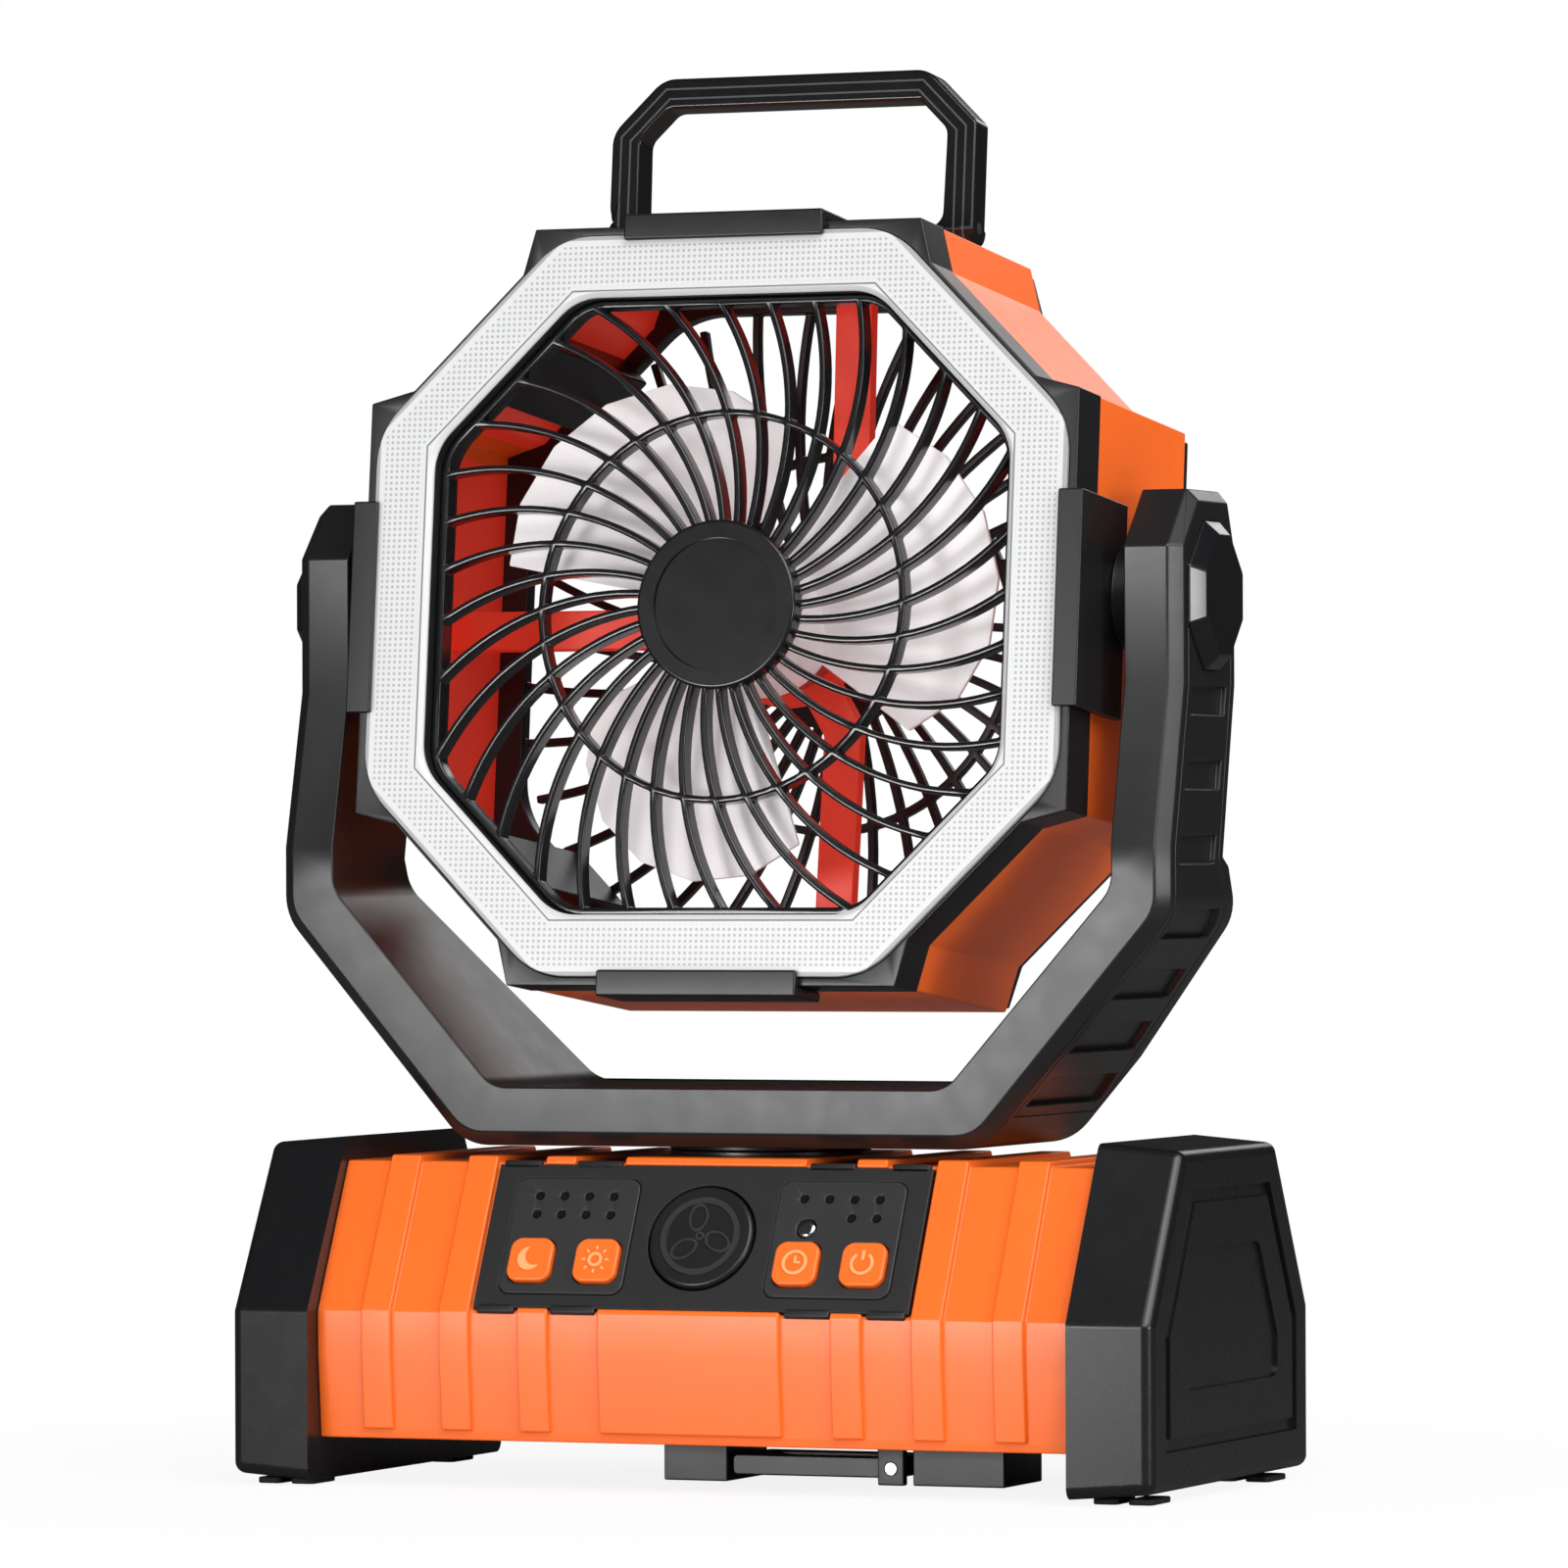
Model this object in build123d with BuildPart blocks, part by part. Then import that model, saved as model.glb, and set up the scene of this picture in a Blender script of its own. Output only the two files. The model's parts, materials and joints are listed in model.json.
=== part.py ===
from build123d import *

import os
from math import acos, cos, hypot, pi, radians, sin, sqrt, tan

# Portable camping fan with a ring lamp: a battery base, a U-shaped yoke that swings on it, and an
# eight-sided fan head that tilts in the yoke. X runs across, -Y is the front, +Z is up, and the origin
# lies on the ground under the middle of the base. Everything is in millimetres.

# --- fits ---------------------------------------------------------------------------------------------
SEAT = 0.15  # gap around a piece that is seated in another
RUN = 0.05  # radial gap of a shaft in its bearing
CLEAR = 0.3  # gap between pieces that move past each other
PRESS_GAP = 0.3  # rest gap between a button's flange and the panel

# --- base body ----------------------------------------------------------------------------------------
BASE_LENGTH = 243.0
CAP_WIDTH = 21.5
FOOT_HEIGHT = 1.5
BODY_BOTTOM_Z = 12.0
BODY_TUCK_Z = 33.5
BODY_FOLD_Z = 43.5
BODY_TOP_Z = 80.0
BODY_BOTTOM_HALF = 50.9
BODY_HALF = 52.7
BODY_TOP_HALF = 34.3
BODY_WALL = 2.4
RIB_HEIGHT = 1.5
RIB_BOTTOM_Z = 14.5
BAND_WIDTH = 48.0
RIB_WIDTH = 8.0
RIB_FIRST_X = 41.4
RIB_END_GAP = 16.5  # from the last rib's middle to the end cap
RIBS_PER_SIDE = 3
BODY_LENGTH = BASE_LENGTH - 2 * CAP_WIDTH

# --- end caps -----------------------------------------------------------------------------------------
CAP_HALF = 58.6
CAP_TOP_HALF = 35.0
CAP_FOLD_Z = 43.5
CAP_TOP_Z = 86.0
CAP_DRAFT = 1.5  # the outer end is this much smaller all round
CAP_TOP_DRAFT = 1.8
CAP_WALL = 2.5
CAP_EDGE_RADIUS = 3.0
SPIGOT_LENGTH = 4.0
GROOVE_WIDTH = 3.2
GROOVE_DEPTH = 1.2
GROOVE_INSET = 11.1  # from the end face's outline to the groove's middle
POCKET_INSET = 23.6
POCKET_DEPTH = 0.8
FOOT_LENGTH = 14.0
FOOT_WIDTH = 6.5
FOOT_Y = 42.0
FOOT_PITCH = 9.0

# --- control panel ------------------------------------------------------------------------------------
PANEL_MARGIN = 1.0  # orange left above and below the panel, along the slope
PANEL_PROUD = 1.2
PANEL_FLANGE = 3.0
PANEL_FLANGE_THICK = 1.5
PLATE_WIDTH = 33.0
PLATE_HEIGHT = 31.0
PLATE_CORNER = 3.0
PLATE_THICK = 0.8
PLATE_PROUD = 0.3
PLATE_GAP = 4.6  # between a plate and the fan key's hole
PLATE_EDGE = 6.0  # between a plate and the panel's end
KEY_SIZE = 11.5
KEY_CORNER = 3.0
KEY_OFFSET_X = 8.8  # key centres left and right of the plate's centre
KEY_Y = -6.9
KEY_PROUD = 1.3
KEY_TRAVEL = 0.8
KEY_FLANGE = 1.0
KEY_FLANGE_THICK = 0.8
FAN_KEY_RADIUS = 13.5
FAN_KEY_GAP = 0.6
FAN_KEY_PROUD = 1.0
LIGHT_RADIUS = 0.95
LIGHT_PITCH = 6.6
LIGHT_ROW_Y = (5.7, 10.7)
LIGHTS_PER_ROW = 4
EYE_RADIUS = 2.5
EYE_OFFSET_X = -8.0
EYE_Y = 2.8
BOARD_MARGIN = 5.0
BOARD_HEIGHT = 33.0
BOARD_THICK = 1.6
SWITCH_SIZE = 6.0
SWITCH_HEIGHT = 4.2

# --- battery and bottom -------------------------------------------------------------------------------
COVER_THICK = 2.4
CELL_RADIUS = 9.1
CELL_LENGTH = 65.0
CELL_PITCH = 20.0
CELL_ROWS = 3
CELL_GAP = 2.0
TRAY_WALL = 1.6
SCREW_RADIUS = 1.5
SCREW_HEAD_RADIUS = 2.8
SCREW_HEAD_HEIGHT = 1.4
SCREW_LENGTH = 9.0
SCREW_INSET_X = 10.5
SCREW_INSET_Y = 8.5
POST_SIZE = 8.0
POST_HEIGHT = 14.0

# --- sockets at the back ------------------------------------------------------------------------------
PORT_WIDTH = 38.0
PORT_HEIGHT = 10.0
FLAP_THICK = 1.1
FLAP_PIN_RADIUS = 0.55
FLAP_PIN_LENGTH = 1.4
USB_A_SIZE = (13.1, 5.7)
USB_C_SIZE = (9.0, 3.3)
USB_DEPTH = 14.0
USB_A_X = -8.0
USB_C_X = 9.5

# --- hanging hook under the base ----------------------------------------------------------------------
HOOK_PIN_X = 42.0
HOOK_PIN_Z = 5.6
HOOK_PIN_RADIUS = 1.5
HOOK_Y = -12.0
HOOK_LENGTH = 43.0
HOOK_WIDTH = 22.0
HOOK_BAR = 5.5
HOOK_THICK = 5.0
HOOK_PLATE_THICK = 1.5
HOOK_BLOCK_THICK = 9.0
HOOK_BLOCK_WIDTH = 26.0
HOOK_BLOCK_LENGTH = 17.0
HOOK_REAR_BLOCK_LENGTH = 24.0
HOOK_PLATE_WIDTH = 34.0
EAR_THICK = 2.5
EAR_LENGTH = 7.0

# --- turntable and swing drive ------------------------------------------------------------------------
SPINDLE_RADIUS = 9.0
SPINDLE_SOCKET = 3.0
BUSH_WALL = 3.0
BUSH_LENGTH = 13.0
BUSH_HOLDER_WALL = 1.2
TABLE_RADIUS = 25.0
TABLE_THICK = 1.1
GEAR_MODULE = 1.0
GEAR_TEETH = 40
PINION_TEETH = 15
GEAR_THICK = 6.0
GEAR_Z = 51.0
PRESSURE_ANGLE = 20.0
ADDENDUM = 0.9
DEDENDUM = 1.25
BACKLASH = 0.24
SPREAD = 0.1  # the gear centres stand this much further apart than their pitch circles
MOTOR_SHAFT_RADIUS = 2.4
MOTOR_SHAFT_DEPTH = 9.0
SWING_MOTOR_RADIUS = 14.0
PINION_GAP = 1.0

# --- yoke ---------------------------------------------------------------------------------------------
YOKE_BOTTOM_Z = 84.0
YOKE_TOP_Z = 244.5
YOKE_HALF = 118.0
YOKE_BOTTOM_HALF = 69.1
YOKE_CORNER_Z = 141.0
YOKE_SHOULDER_Z = 241.5
YOKE_TOP_INSET = 3.0
YOKE_WALL = 14.6
YOKE_INNER_RISE = 6.6  # the inner corner lies this much above the outer one
YOKE_INNER_INSET = 8.7
YOKE_FRONT = 35.5  # depth of the yoke's lower part in front of the spindle
YOKE_BACK = 33.0  # and behind it
YOKE_TAPER_Z = 158.0  # here the arms' fronts start to lean back
YOKE_BACK_TAPER_Z = 98.0  # here the back starts to come forward, up to the waist
YOKE_WAIST_Z = 155.0
YOKE_WAIST_BACK = 8.0
YOKE_FOLD_Z = 197.0
YOKE_ARM_FRONT = 25.6  # depth of the arms' upright upper part in front of the spindle
YOKE_ARM_BACK = 17.0  # and behind it
YOKE_TIP_DROP = 14.0
YOKE_TIP_FRONT = 13.3  # the tip's front slants back by this much
YOKE_TIP_BACK = 6.0
YOKE_BEVEL = 3.3
YOKE_OUTER_RADIUS = 14.0
YOKE_INNER_RADIUS = 9.0
SKIN_THICK = 3.0
SKIN_MARGIN = 6.0
SKIN_BOTTOM_Z = 92.0
SKIN_TOP_Z = 224.0
SKIN_LEDGE = 4.0
WIRE_WAY_WALL = 2.5
NOTCH_DEPTH = 1.4
NOTCH_HEIGHT = 7.0
NOTCH_PITCH = 18.1
NOTCH_TOP_Z = 193.0
NOTCH_COUNT = 4
NOTCH_MARGIN = 3.0
BEVEL_NOTCH_Z = 98.0
NOTCH_STEP = 13.0
BEVEL_NOTCHES = 3
HEX_HEIGHT = 36.6
HEX_WIDTH = 33.0
HEX_POINT = 11.2
HEX_FLAT = 11.0
HEX_THICK = 4.0
HEX_BEVEL = 3.6

# --- head ---------------------------------------------------------------------------------------------
PIVOT_Y = -4.0
PIVOT_Z = 218.6
HEAD_DROP = 4.3  # the head's centre lies this far below its tilt axis
HEAD_SET_BACK = 5.2  # and this far behind it
REST_TILT = 6.0  # the head leans back by this many degrees at rest
PIVOT_RADIUS = 6.0
PIVOT_BUSH_WALL = 2.5
PIVOT_BOSS_RADIUS = 13.0
WASHER_THICK = 0.6
PIVOT_HEAD_THICK = 2.5
LENS_HALF = 92.0
LENS_LEG = 48.0
LENS_CORNER = 20.0
OPENING_HALF = 76.7
OPENING_LEG = 37.0
OPENING_CORNER = 14.0
BAR_REACH = 94.3
BAR_HALF_LENGTH = 51.5
BAR_FOOT_HALF_LENGTH = 55.0
FRAME_BACK = 22.0
FRAME_FRONT = 37.0
FRAME_RIM = 1.0
FRAME_LIP = 1.6  # width of the inner wall that carries the lens
FRAME_WALL = 2.0
LENS_LEDGE = 1.5  # width of the outer ledge that carries the lens
LENS_LIP = 1.2
LAMP_DEPTH = 7.0
LENS_THICK = 2.0
LENS_PROUD = 1.0
LAMP_BOARD_THICK = 1.2
LAMP_CHIP_SIZE = 3.0
LAMP_CHIP_HEIGHT = 0.8
LAMP_CHIPS_PER_SIDE = 7
LAMP_CHIPS_PER_CORNER = 5
LAMP_CHIP_PITCH = 11.5
CLIP_HALF_LENGTH = 26.5
CLIP_INNER = 90.5
CLIP_REACH = 97.0
CLIP_THICK = 1.8
CLIP_DEPTH = 17.0
PIVOT_BLOCK_DEPTH = 32.0
SHELL_BACK = -41.0
SHELL_STEP = 0.3  # the rear shell is this much smaller than the front frame
SHELL_WALL = 2.4
GRILLE_DEPTH = 5.0
GRILLE_SET_BACK = 3.4  # behind the lens
GRILLE_RIBS = 36
GRILLE_RIB = 1.7
GRILLE_RIM = 2.0
GRILLE_HUB_RADIUS = 20.0
GRILLE_RING_RADIUS = 48.0
GRILLE_TURN_MIDDLE = 10.4  # degrees that a rib has turned where it meets the middle ring
GRILLE_TURN_END = 29.5
GRILLE_END_RADIUS = 90.0
HUB_CAP_RADIUS = 21.0
HUB_CAP_THICK = 3.0
HUB_CAP_DISH_RADIUS = 16.5
HUB_CAP_DISH = 0.8
BACK_GRILLE_THICK = 5.0
BACK_STEP = 1.5
BACK_GRILLE_GROW = 8.0  # the rear opening is this much larger all round than the front one
BACK_GRILLE_TURN_MIDDLE = -6.0
BACK_GRILLE_TURN_END = -14.0
BACK_GRILLE_RIB = 2.0
BACK_RIB_DEPTH = 3.0
BACK_SCREW_LENGTH = 14.0
BACK_DISC_RADIUS = 22.0
CORNER_POST_WIDTH = 20.0
CORNER_POST_THICK = 9.0
CORNER_POST_FRONT = 20.0

# --- fan ----------------------------------------------------------------------------------------------
MOTOR_BACK = -11.0
MOTOR_LENGTH = 28.0
MOTOR_RADIUS = 16.4
FAN_SHAFT_RADIUS = 2.0
SPIDER_THICK = 4.0
SPIDER_RADIUS = 20.0
SPIDER_ARM = 10.0
SPIDER_KNEE_X = 16.0
SPIDER_KNEE_Y = 26.0
SPIDER_FOOT_X = 15.0
ROTOR_RADIUS = 19.5
ROTOR_WALL = 1.8
ROTOR_FRONT = 27.0
ROTOR_BACK = 3.0
BLADES = 3
BLADE_TIP_RADIUS = 70.0
BLADE_SWEEP = 84.0
BLADE_STEPS = 7
BLADE_FIRST_ANGLE = 85.0
BLADE_RISE = 20.0
BLADE_THICK = 1.4
BLADE_LEAD_CUT = 0.30  # share of the radius that the leading corner is cut back by
BLADE_TRAIL_CUT = 0.12
SHAFT_SET_BACK = 8.0

# --- handle -------------------------------------------------------------------------------------------
HANDLE_REACH = 139.0
HANDLE_HALF = 49.4
HANDLE_LEG = 8.0
HANDLE_BAR = 7.8
HANDLE_CORNER = 13.5
HANDLE_DEPTH = 9.0
HANDLE_AXIS_Y = 99.0
HANDLE_AXIS_FORWARD = -7.5
HANDLE_PIN_RADIUS = 1.5
HANDLE_INNER_CORNER = 7.4
HANDLE_BEND = 8.0
HANDLE_INNER_BEND = 4.0
LUG_THICK = 3.0
LUG_RADIUS = 3.1
LUG_ROOT = 7.0

os.makedirs("parts", exist_ok=True)


# --- shared outlines ----------------------------------------------------------------------------------
def mirrored(points):
    """One side of an outline and its mirror image in the middle line, as one closed list."""
    return points + [(-x, y) for x, y in reversed(points)]


def body_section():
    """Cross-section of the ribbed body, without ribs."""
    half = [
        (BODY_BOTTOM_HALF, BODY_BOTTOM_Z),
        (BODY_HALF, BODY_TUCK_Z),
        (BODY_HALF, BODY_FOLD_Z),
        (BODY_TOP_HALF, BODY_TOP_Z),
    ]
    Polygon(mirrored(half), align=None)


def hollow_section(wall):
    """Inside of the body at a given wall, open at the bottom."""
    body_section()
    offset(amount=-wall, kind=Kind.INTERSECTION)
    with Locations((0, BODY_BOTTOM_Z + wall / 2)):
        Rectangle(2 * (BODY_BOTTOM_HALF - wall), 2 * wall)


def cap_section(shrink, top_drop):
    """Cross-section of an end cap, smaller by shrink all round and lower by top_drop at the top."""
    half = [
        (CAP_HALF - shrink, FOOT_HEIGHT + shrink),
        (CAP_HALF - shrink, CAP_FOLD_Z),
        (CAP_TOP_HALF - shrink, CAP_TOP_Z - top_drop),
    ]
    Polygon(mirrored(half), align=None)


# Plane of the body's sloping front, its X along the base and its Y up the slope.
slope_run = BODY_HALF - BODY_TOP_HALF
slope_rise = BODY_TOP_Z - BODY_FOLD_Z
slope_length = hypot(slope_run, slope_rise)
slope = Plane(
    origin=(0, -(BODY_HALF + BODY_TOP_HALF) / 2, (BODY_FOLD_Z + BODY_TOP_Z) / 2),
    x_dir=(1, 0, 0),
    z_dir=(0, -slope_rise / slope_length, slope_run / slope_length),
)
panel_height = slope_length - 2 * PANEL_MARGIN
plate_inner_x = FAN_KEY_RADIUS + FAN_KEY_GAP + PLATE_GAP
plate_x = plate_inner_x + PLATE_WIDTH / 2
panel_width = 2 * (plate_inner_x + PLATE_WIDTH + PLATE_EDGE)
board_width = panel_width - 2 * BOARD_MARGIN
key_centres = [
    (side * plate_x + step * KEY_OFFSET_X, KEY_Y) for side in (-1, 1) for step in (-1, 1)
]
key_names = ("button_night", "button_lamp", "button_timer", "button_power")
light_columns = [(column - (LIGHTS_PER_ROW - 1) / 2) * LIGHT_PITCH for column in range(LIGHTS_PER_ROW)]
left_lights = [(x - plate_x, y) for y in LIGHT_ROW_Y for x in light_columns]
right_lights = [(x + plate_x, LIGHT_ROW_Y[1]) for x in light_columns]
right_lights += [(x + plate_x, LIGHT_ROW_Y[0]) for x in light_columns[LIGHTS_PER_ROW // 2 :]]
eye_centre = (plate_x + EYE_OFFSET_X, EYE_Y)
panel_back = -BODY_WALL
key_flange_front = panel_back - PRESS_GAP
key_flange_back = key_flange_front - KEY_FLANGE_THICK
switch_front = key_flange_back - KEY_TRAVEL - CLEAR
board_front = switch_front - SWITCH_HEIGHT

# Heights of the turntable, worked out from the base's top and the yoke's bottom.
deck_z = BODY_TOP_Z + RIB_HEIGHT
gear_pitch_radius = GEAR_MODULE * GEAR_TEETH / 2
pinion_pitch_radius = GEAR_MODULE * PINION_TEETH / 2
pinion_x = gear_pitch_radius + pinion_pitch_radius + SPREAD
bush_radius = SPINDLE_RADIUS + RUN + BUSH_WALL
inner_top_z = BODY_TOP_Z - BODY_WALL
screw_x = BODY_LENGTH / 2 - SCREW_INSET_X
screw_y = BODY_BOTTOM_HALF - SCREW_INSET_Y

# Socket pocket in the back of the central band.
port_z = (BODY_TUCK_Z + BODY_FOLD_Z) / 2
flap_axis_z = port_z - PORT_HEIGHT / 2 + FLAP_THICK / 2 + CLEAR
flap_axis_y = BODY_HALF + CLEAR + FLAP_THICK / 2

# --- base: ribbed shell -------------------------------------------------------------------------------
rib_pitch = (BODY_LENGTH / 2 - RIB_END_GAP - RIB_FIRST_X) / (RIBS_PER_SIDE - 1)
rib_centres = [RIB_FIRST_X + rib_pitch * number for number in range(RIBS_PER_SIDE)]
ribs = [(0, BAND_WIDTH)] + [(side * x, RIB_WIDTH) for x in rib_centres for side in (-1, 1)]

with BuildPart() as base_shell:
    with BuildSketch(Plane.YZ):
        body_section()
    extrude(amount=BODY_LENGTH / 2, both=True)
    for rib_x, rib_width in ribs:
        with BuildSketch(Plane.YZ.offset(rib_x)):
            body_section()
            offset(amount=RIB_HEIGHT, kind=Kind.INTERSECTION)
            with Locations((0, RIB_BOTTOM_Z)):
                Rectangle(3 * BODY_HALF, BODY_TOP_Z, align=(Align.CENTER, Align.MAX), mode=Mode.SUBTRACT)
        extrude(amount=rib_width / 2, both=True)
    with BuildSketch(Plane.YZ):
        hollow_section(BODY_WALL)
    extrude(amount=BODY_LENGTH, both=True, mode=Mode.SUBTRACT)
    # window for the control panel
    with BuildSketch(slope.offset(-3 * BODY_WALL)):
        Rectangle(panel_width, panel_height)
    extrude(amount=4 * BODY_WALL + RIB_HEIGHT, mode=Mode.SUBTRACT)
    # holder of the spindle bush
    with BuildSketch(Plane.XY.offset(deck_z - BUSH_LENGTH)):
        Circle(bush_radius + SEAT + BUSH_HOLDER_WALL)
    extrude(amount=BUSH_LENGTH - RIB_HEIGHT)
    with BuildSketch(Plane.XY.offset(deck_z - BUSH_LENGTH)):
        Circle(bush_radius + SEAT)
    extrude(amount=BUSH_LENGTH, mode=Mode.SUBTRACT)
    # posts for the bottom screws
    with BuildSketch(Plane.XY.offset(BODY_BOTTOM_Z + COVER_THICK)):
        with GridLocations(2 * screw_x, 2 * screw_y, 2, 2):
            Rectangle(POST_SIZE, POST_SIZE)
        for side in (-1, 1):
            with GridLocations(2 * screw_x, 0, 2, 1):
                with Locations((0, side * (screw_y + BODY_BOTTOM_HALF) / 2)):
                    Rectangle(POST_SIZE / 2, BODY_BOTTOM_HALF - BODY_WALL / 2 - screw_y)
    extrude(amount=POST_HEIGHT)
    with BuildSketch(Plane.XY.offset(BODY_BOTTOM_Z)):
        with GridLocations(2 * screw_x, 2 * screw_y, 2, 2):
            Circle(SCREW_RADIUS)
    extrude(amount=SCREW_LENGTH + COVER_THICK, mode=Mode.SUBTRACT)
    # pocket and openings for the sockets
    with BuildSketch(Plane.XZ.offset(-BODY_HALF)):
        with Locations((0, port_z)):
            Rectangle(PORT_WIDTH, PORT_HEIGHT)
    extrude(amount=-2 * RIB_HEIGHT, mode=Mode.SUBTRACT)
    with BuildSketch(Plane.XZ.offset(-BODY_HALF)):
        with Locations((USB_A_X, port_z)):
            Rectangle(USB_A_SIZE[0] + 2 * SEAT, USB_A_SIZE[1] + 2 * SEAT)
        with Locations((USB_C_X, port_z)):
            RectangleRounded(USB_C_SIZE[0] + 2 * SEAT, USB_C_SIZE[1] + 2 * SEAT, USB_C_SIZE[1] / 2)
    extrude(amount=2 * BODY_WALL, mode=Mode.SUBTRACT)
    with BuildSketch(Plane.YZ):
        with Locations((flap_axis_y, flap_axis_z)):
            Circle(FLAP_PIN_RADIUS + RUN)
    extrude(amount=PORT_WIDTH / 2 + FLAP_PIN_LENGTH + CLEAR, both=True, mode=Mode.SUBTRACT)
base_shell.part.label = "base_shell"
export_step(base_shell.part, "parts/base_shell.step")

# --- base: bottom cover with screws -------------------------------------------------------------------
cover_half = BODY_BOTTOM_HALF - BODY_WALL - SEAT
with BuildPart() as bottom_cover:
    with BuildSketch(Plane.XY.offset(BODY_BOTTOM_Z)):
        Rectangle(BODY_LENGTH - 2 * SEAT, 2 * cover_half)
    extrude(amount=COVER_THICK)
    with BuildSketch(Plane.XY.offset(BODY_BOTTOM_Z)):
        with GridLocations(2 * screw_x, 2 * screw_y, 2, 2):
            Circle(SCREW_RADIUS + SEAT)
    extrude(amount=COVER_THICK, mode=Mode.SUBTRACT)
    with BuildSketch(Plane.XY.offset(BODY_BOTTOM_Z)):
        with GridLocations(2 * screw_x, 2 * screw_y, 2, 2):
            Circle(SCREW_HEAD_RADIUS + SEAT)
    extrude(amount=SCREW_HEAD_HEIGHT, mode=Mode.SUBTRACT)
bottom_cover.part.label = "bottom_cover"
export_step(bottom_cover.part, "parts/bottom_cover.step")

with BuildPart() as case_screws:
    with BuildSketch(Plane.XY.offset(BODY_BOTTOM_Z)):
        with GridLocations(2 * screw_x, 2 * screw_y, 2, 2):
            Circle(SCREW_HEAD_RADIUS)
    extrude(amount=SCREW_HEAD_HEIGHT)
    with BuildSketch(Plane.XY.offset(BODY_BOTTOM_Z)):
        with GridLocations(2 * screw_x, 2 * screw_y, 2, 2):
            Circle(SCREW_RADIUS)
    extrude(amount=SCREW_LENGTH)
case_screws.part.label = "case_screws"
export_step(case_screws.part, "parts/case_screws.step")

# --- base: end caps and their feet --------------------------------------------------------------------
cap_inner_x = BODY_LENGTH / 2
cap_outer_x = BASE_LENGTH / 2
with BuildPart() as end_cap_right:
    with BuildSketch(Plane.YZ.offset(cap_inner_x)):
        cap_section(0, 0)
    with BuildSketch(Plane.YZ.offset(cap_outer_x)):
        cap_section(CAP_DRAFT, CAP_TOP_DRAFT)
    loft()
    long_edges = end_cap_right.edges().filter_by(lambda e: abs(e.tangent_at(0.5).X) > 0.9)
    end_edges = end_cap_right.faces().sort_by(Axis.X)[-1].edges()
    fillet(long_edges + end_edges, CAP_EDGE_RADIUS)
    # hollow behind the outer wall, open to the inside of the body
    with BuildSketch(Plane.YZ.offset(cap_inner_x + CAP_WALL)):
        cap_section(0, 0)
        offset(amount=-CAP_WALL, kind=Kind.INTERSECTION)
    with BuildSketch(Plane.YZ.offset(cap_outer_x - CAP_WALL)):
        cap_section(CAP_DRAFT, CAP_TOP_DRAFT)
        offset(amount=-CAP_WALL, kind=Kind.INTERSECTION)
    loft(mode=Mode.SUBTRACT)
    with BuildSketch(Plane.YZ.offset(cap_inner_x - SPIGOT_LENGTH)):
        hollow_section(BODY_WALL + SEAT)
        with Locations((0, BODY_BOTTOM_Z + COVER_THICK + SEAT)):
            Rectangle(2 * BODY_HALF, BODY_TOP_Z, align=(Align.CENTER, Align.MAX), mode=Mode.SUBTRACT)
    extrude(amount=SPIGOT_LENGTH)
    with BuildSketch(Plane.YZ.offset(cap_inner_x - SPIGOT_LENGTH)):
        hollow_section(BODY_WALL + SEAT)
        with Locations((0, BODY_BOTTOM_Z + COVER_THICK + SEAT)):
            Rectangle(2 * BODY_HALF, BODY_TOP_Z, align=(Align.CENTER, Align.MAX), mode=Mode.SUBTRACT)
        offset(amount=-CAP_WALL, kind=Kind.INTERSECTION)
    extrude(amount=SPIGOT_LENGTH + 2 * CAP_WALL, mode=Mode.SUBTRACT)
    # groove and pocket in the end face
    with BuildSketch(Plane.YZ.offset(cap_outer_x - GROOVE_DEPTH)):
        cap_section(CAP_DRAFT, CAP_TOP_DRAFT)
        offset(amount=GROOVE_WIDTH / 2 - GROOVE_INSET, kind=Kind.INTERSECTION)
        offset(amount=-GROOVE_WIDTH, kind=Kind.INTERSECTION, mode=Mode.SUBTRACT)
    extrude(amount=2 * GROOVE_DEPTH, mode=Mode.SUBTRACT)
    with BuildSketch(Plane.YZ.offset(cap_outer_x - POCKET_DEPTH)):
        cap_section(CAP_DRAFT, CAP_TOP_DRAFT)
        offset(amount=-POCKET_INSET, kind=Kind.INTERSECTION)
        fillet(vertices(), CAP_EDGE_RADIUS)
    extrude(amount=2 * POCKET_DEPTH, mode=Mode.SUBTRACT)
end_cap_right.part.label = "end_cap_right"
export_step(end_cap_right.part, "parts/end_cap_right.step")

with BuildPart() as end_cap_left:
    mirror(end_cap_right.part, about=Plane.YZ)
end_cap_left.part.label = "end_cap_left"
export_step(end_cap_left.part, "parts/end_cap_left.step")

cap_middle_x = (cap_inner_x + cap_outer_x) / 2
with BuildPart() as foot_pads:
    with BuildSketch(Plane.XY):
        for side in (-1, 1):
            with Locations((side * cap_middle_x, 0)):
                with GridLocations(FOOT_PITCH, 2 * FOOT_Y, 2, 2):
                    RectangleRounded(FOOT_WIDTH, FOOT_LENGTH, FOOT_WIDTH / 4)
    extrude(amount=FOOT_HEIGHT)
foot_pads.part.label = "foot_pads"
export_step(foot_pads.part, "parts/foot_pads.step")

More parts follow.
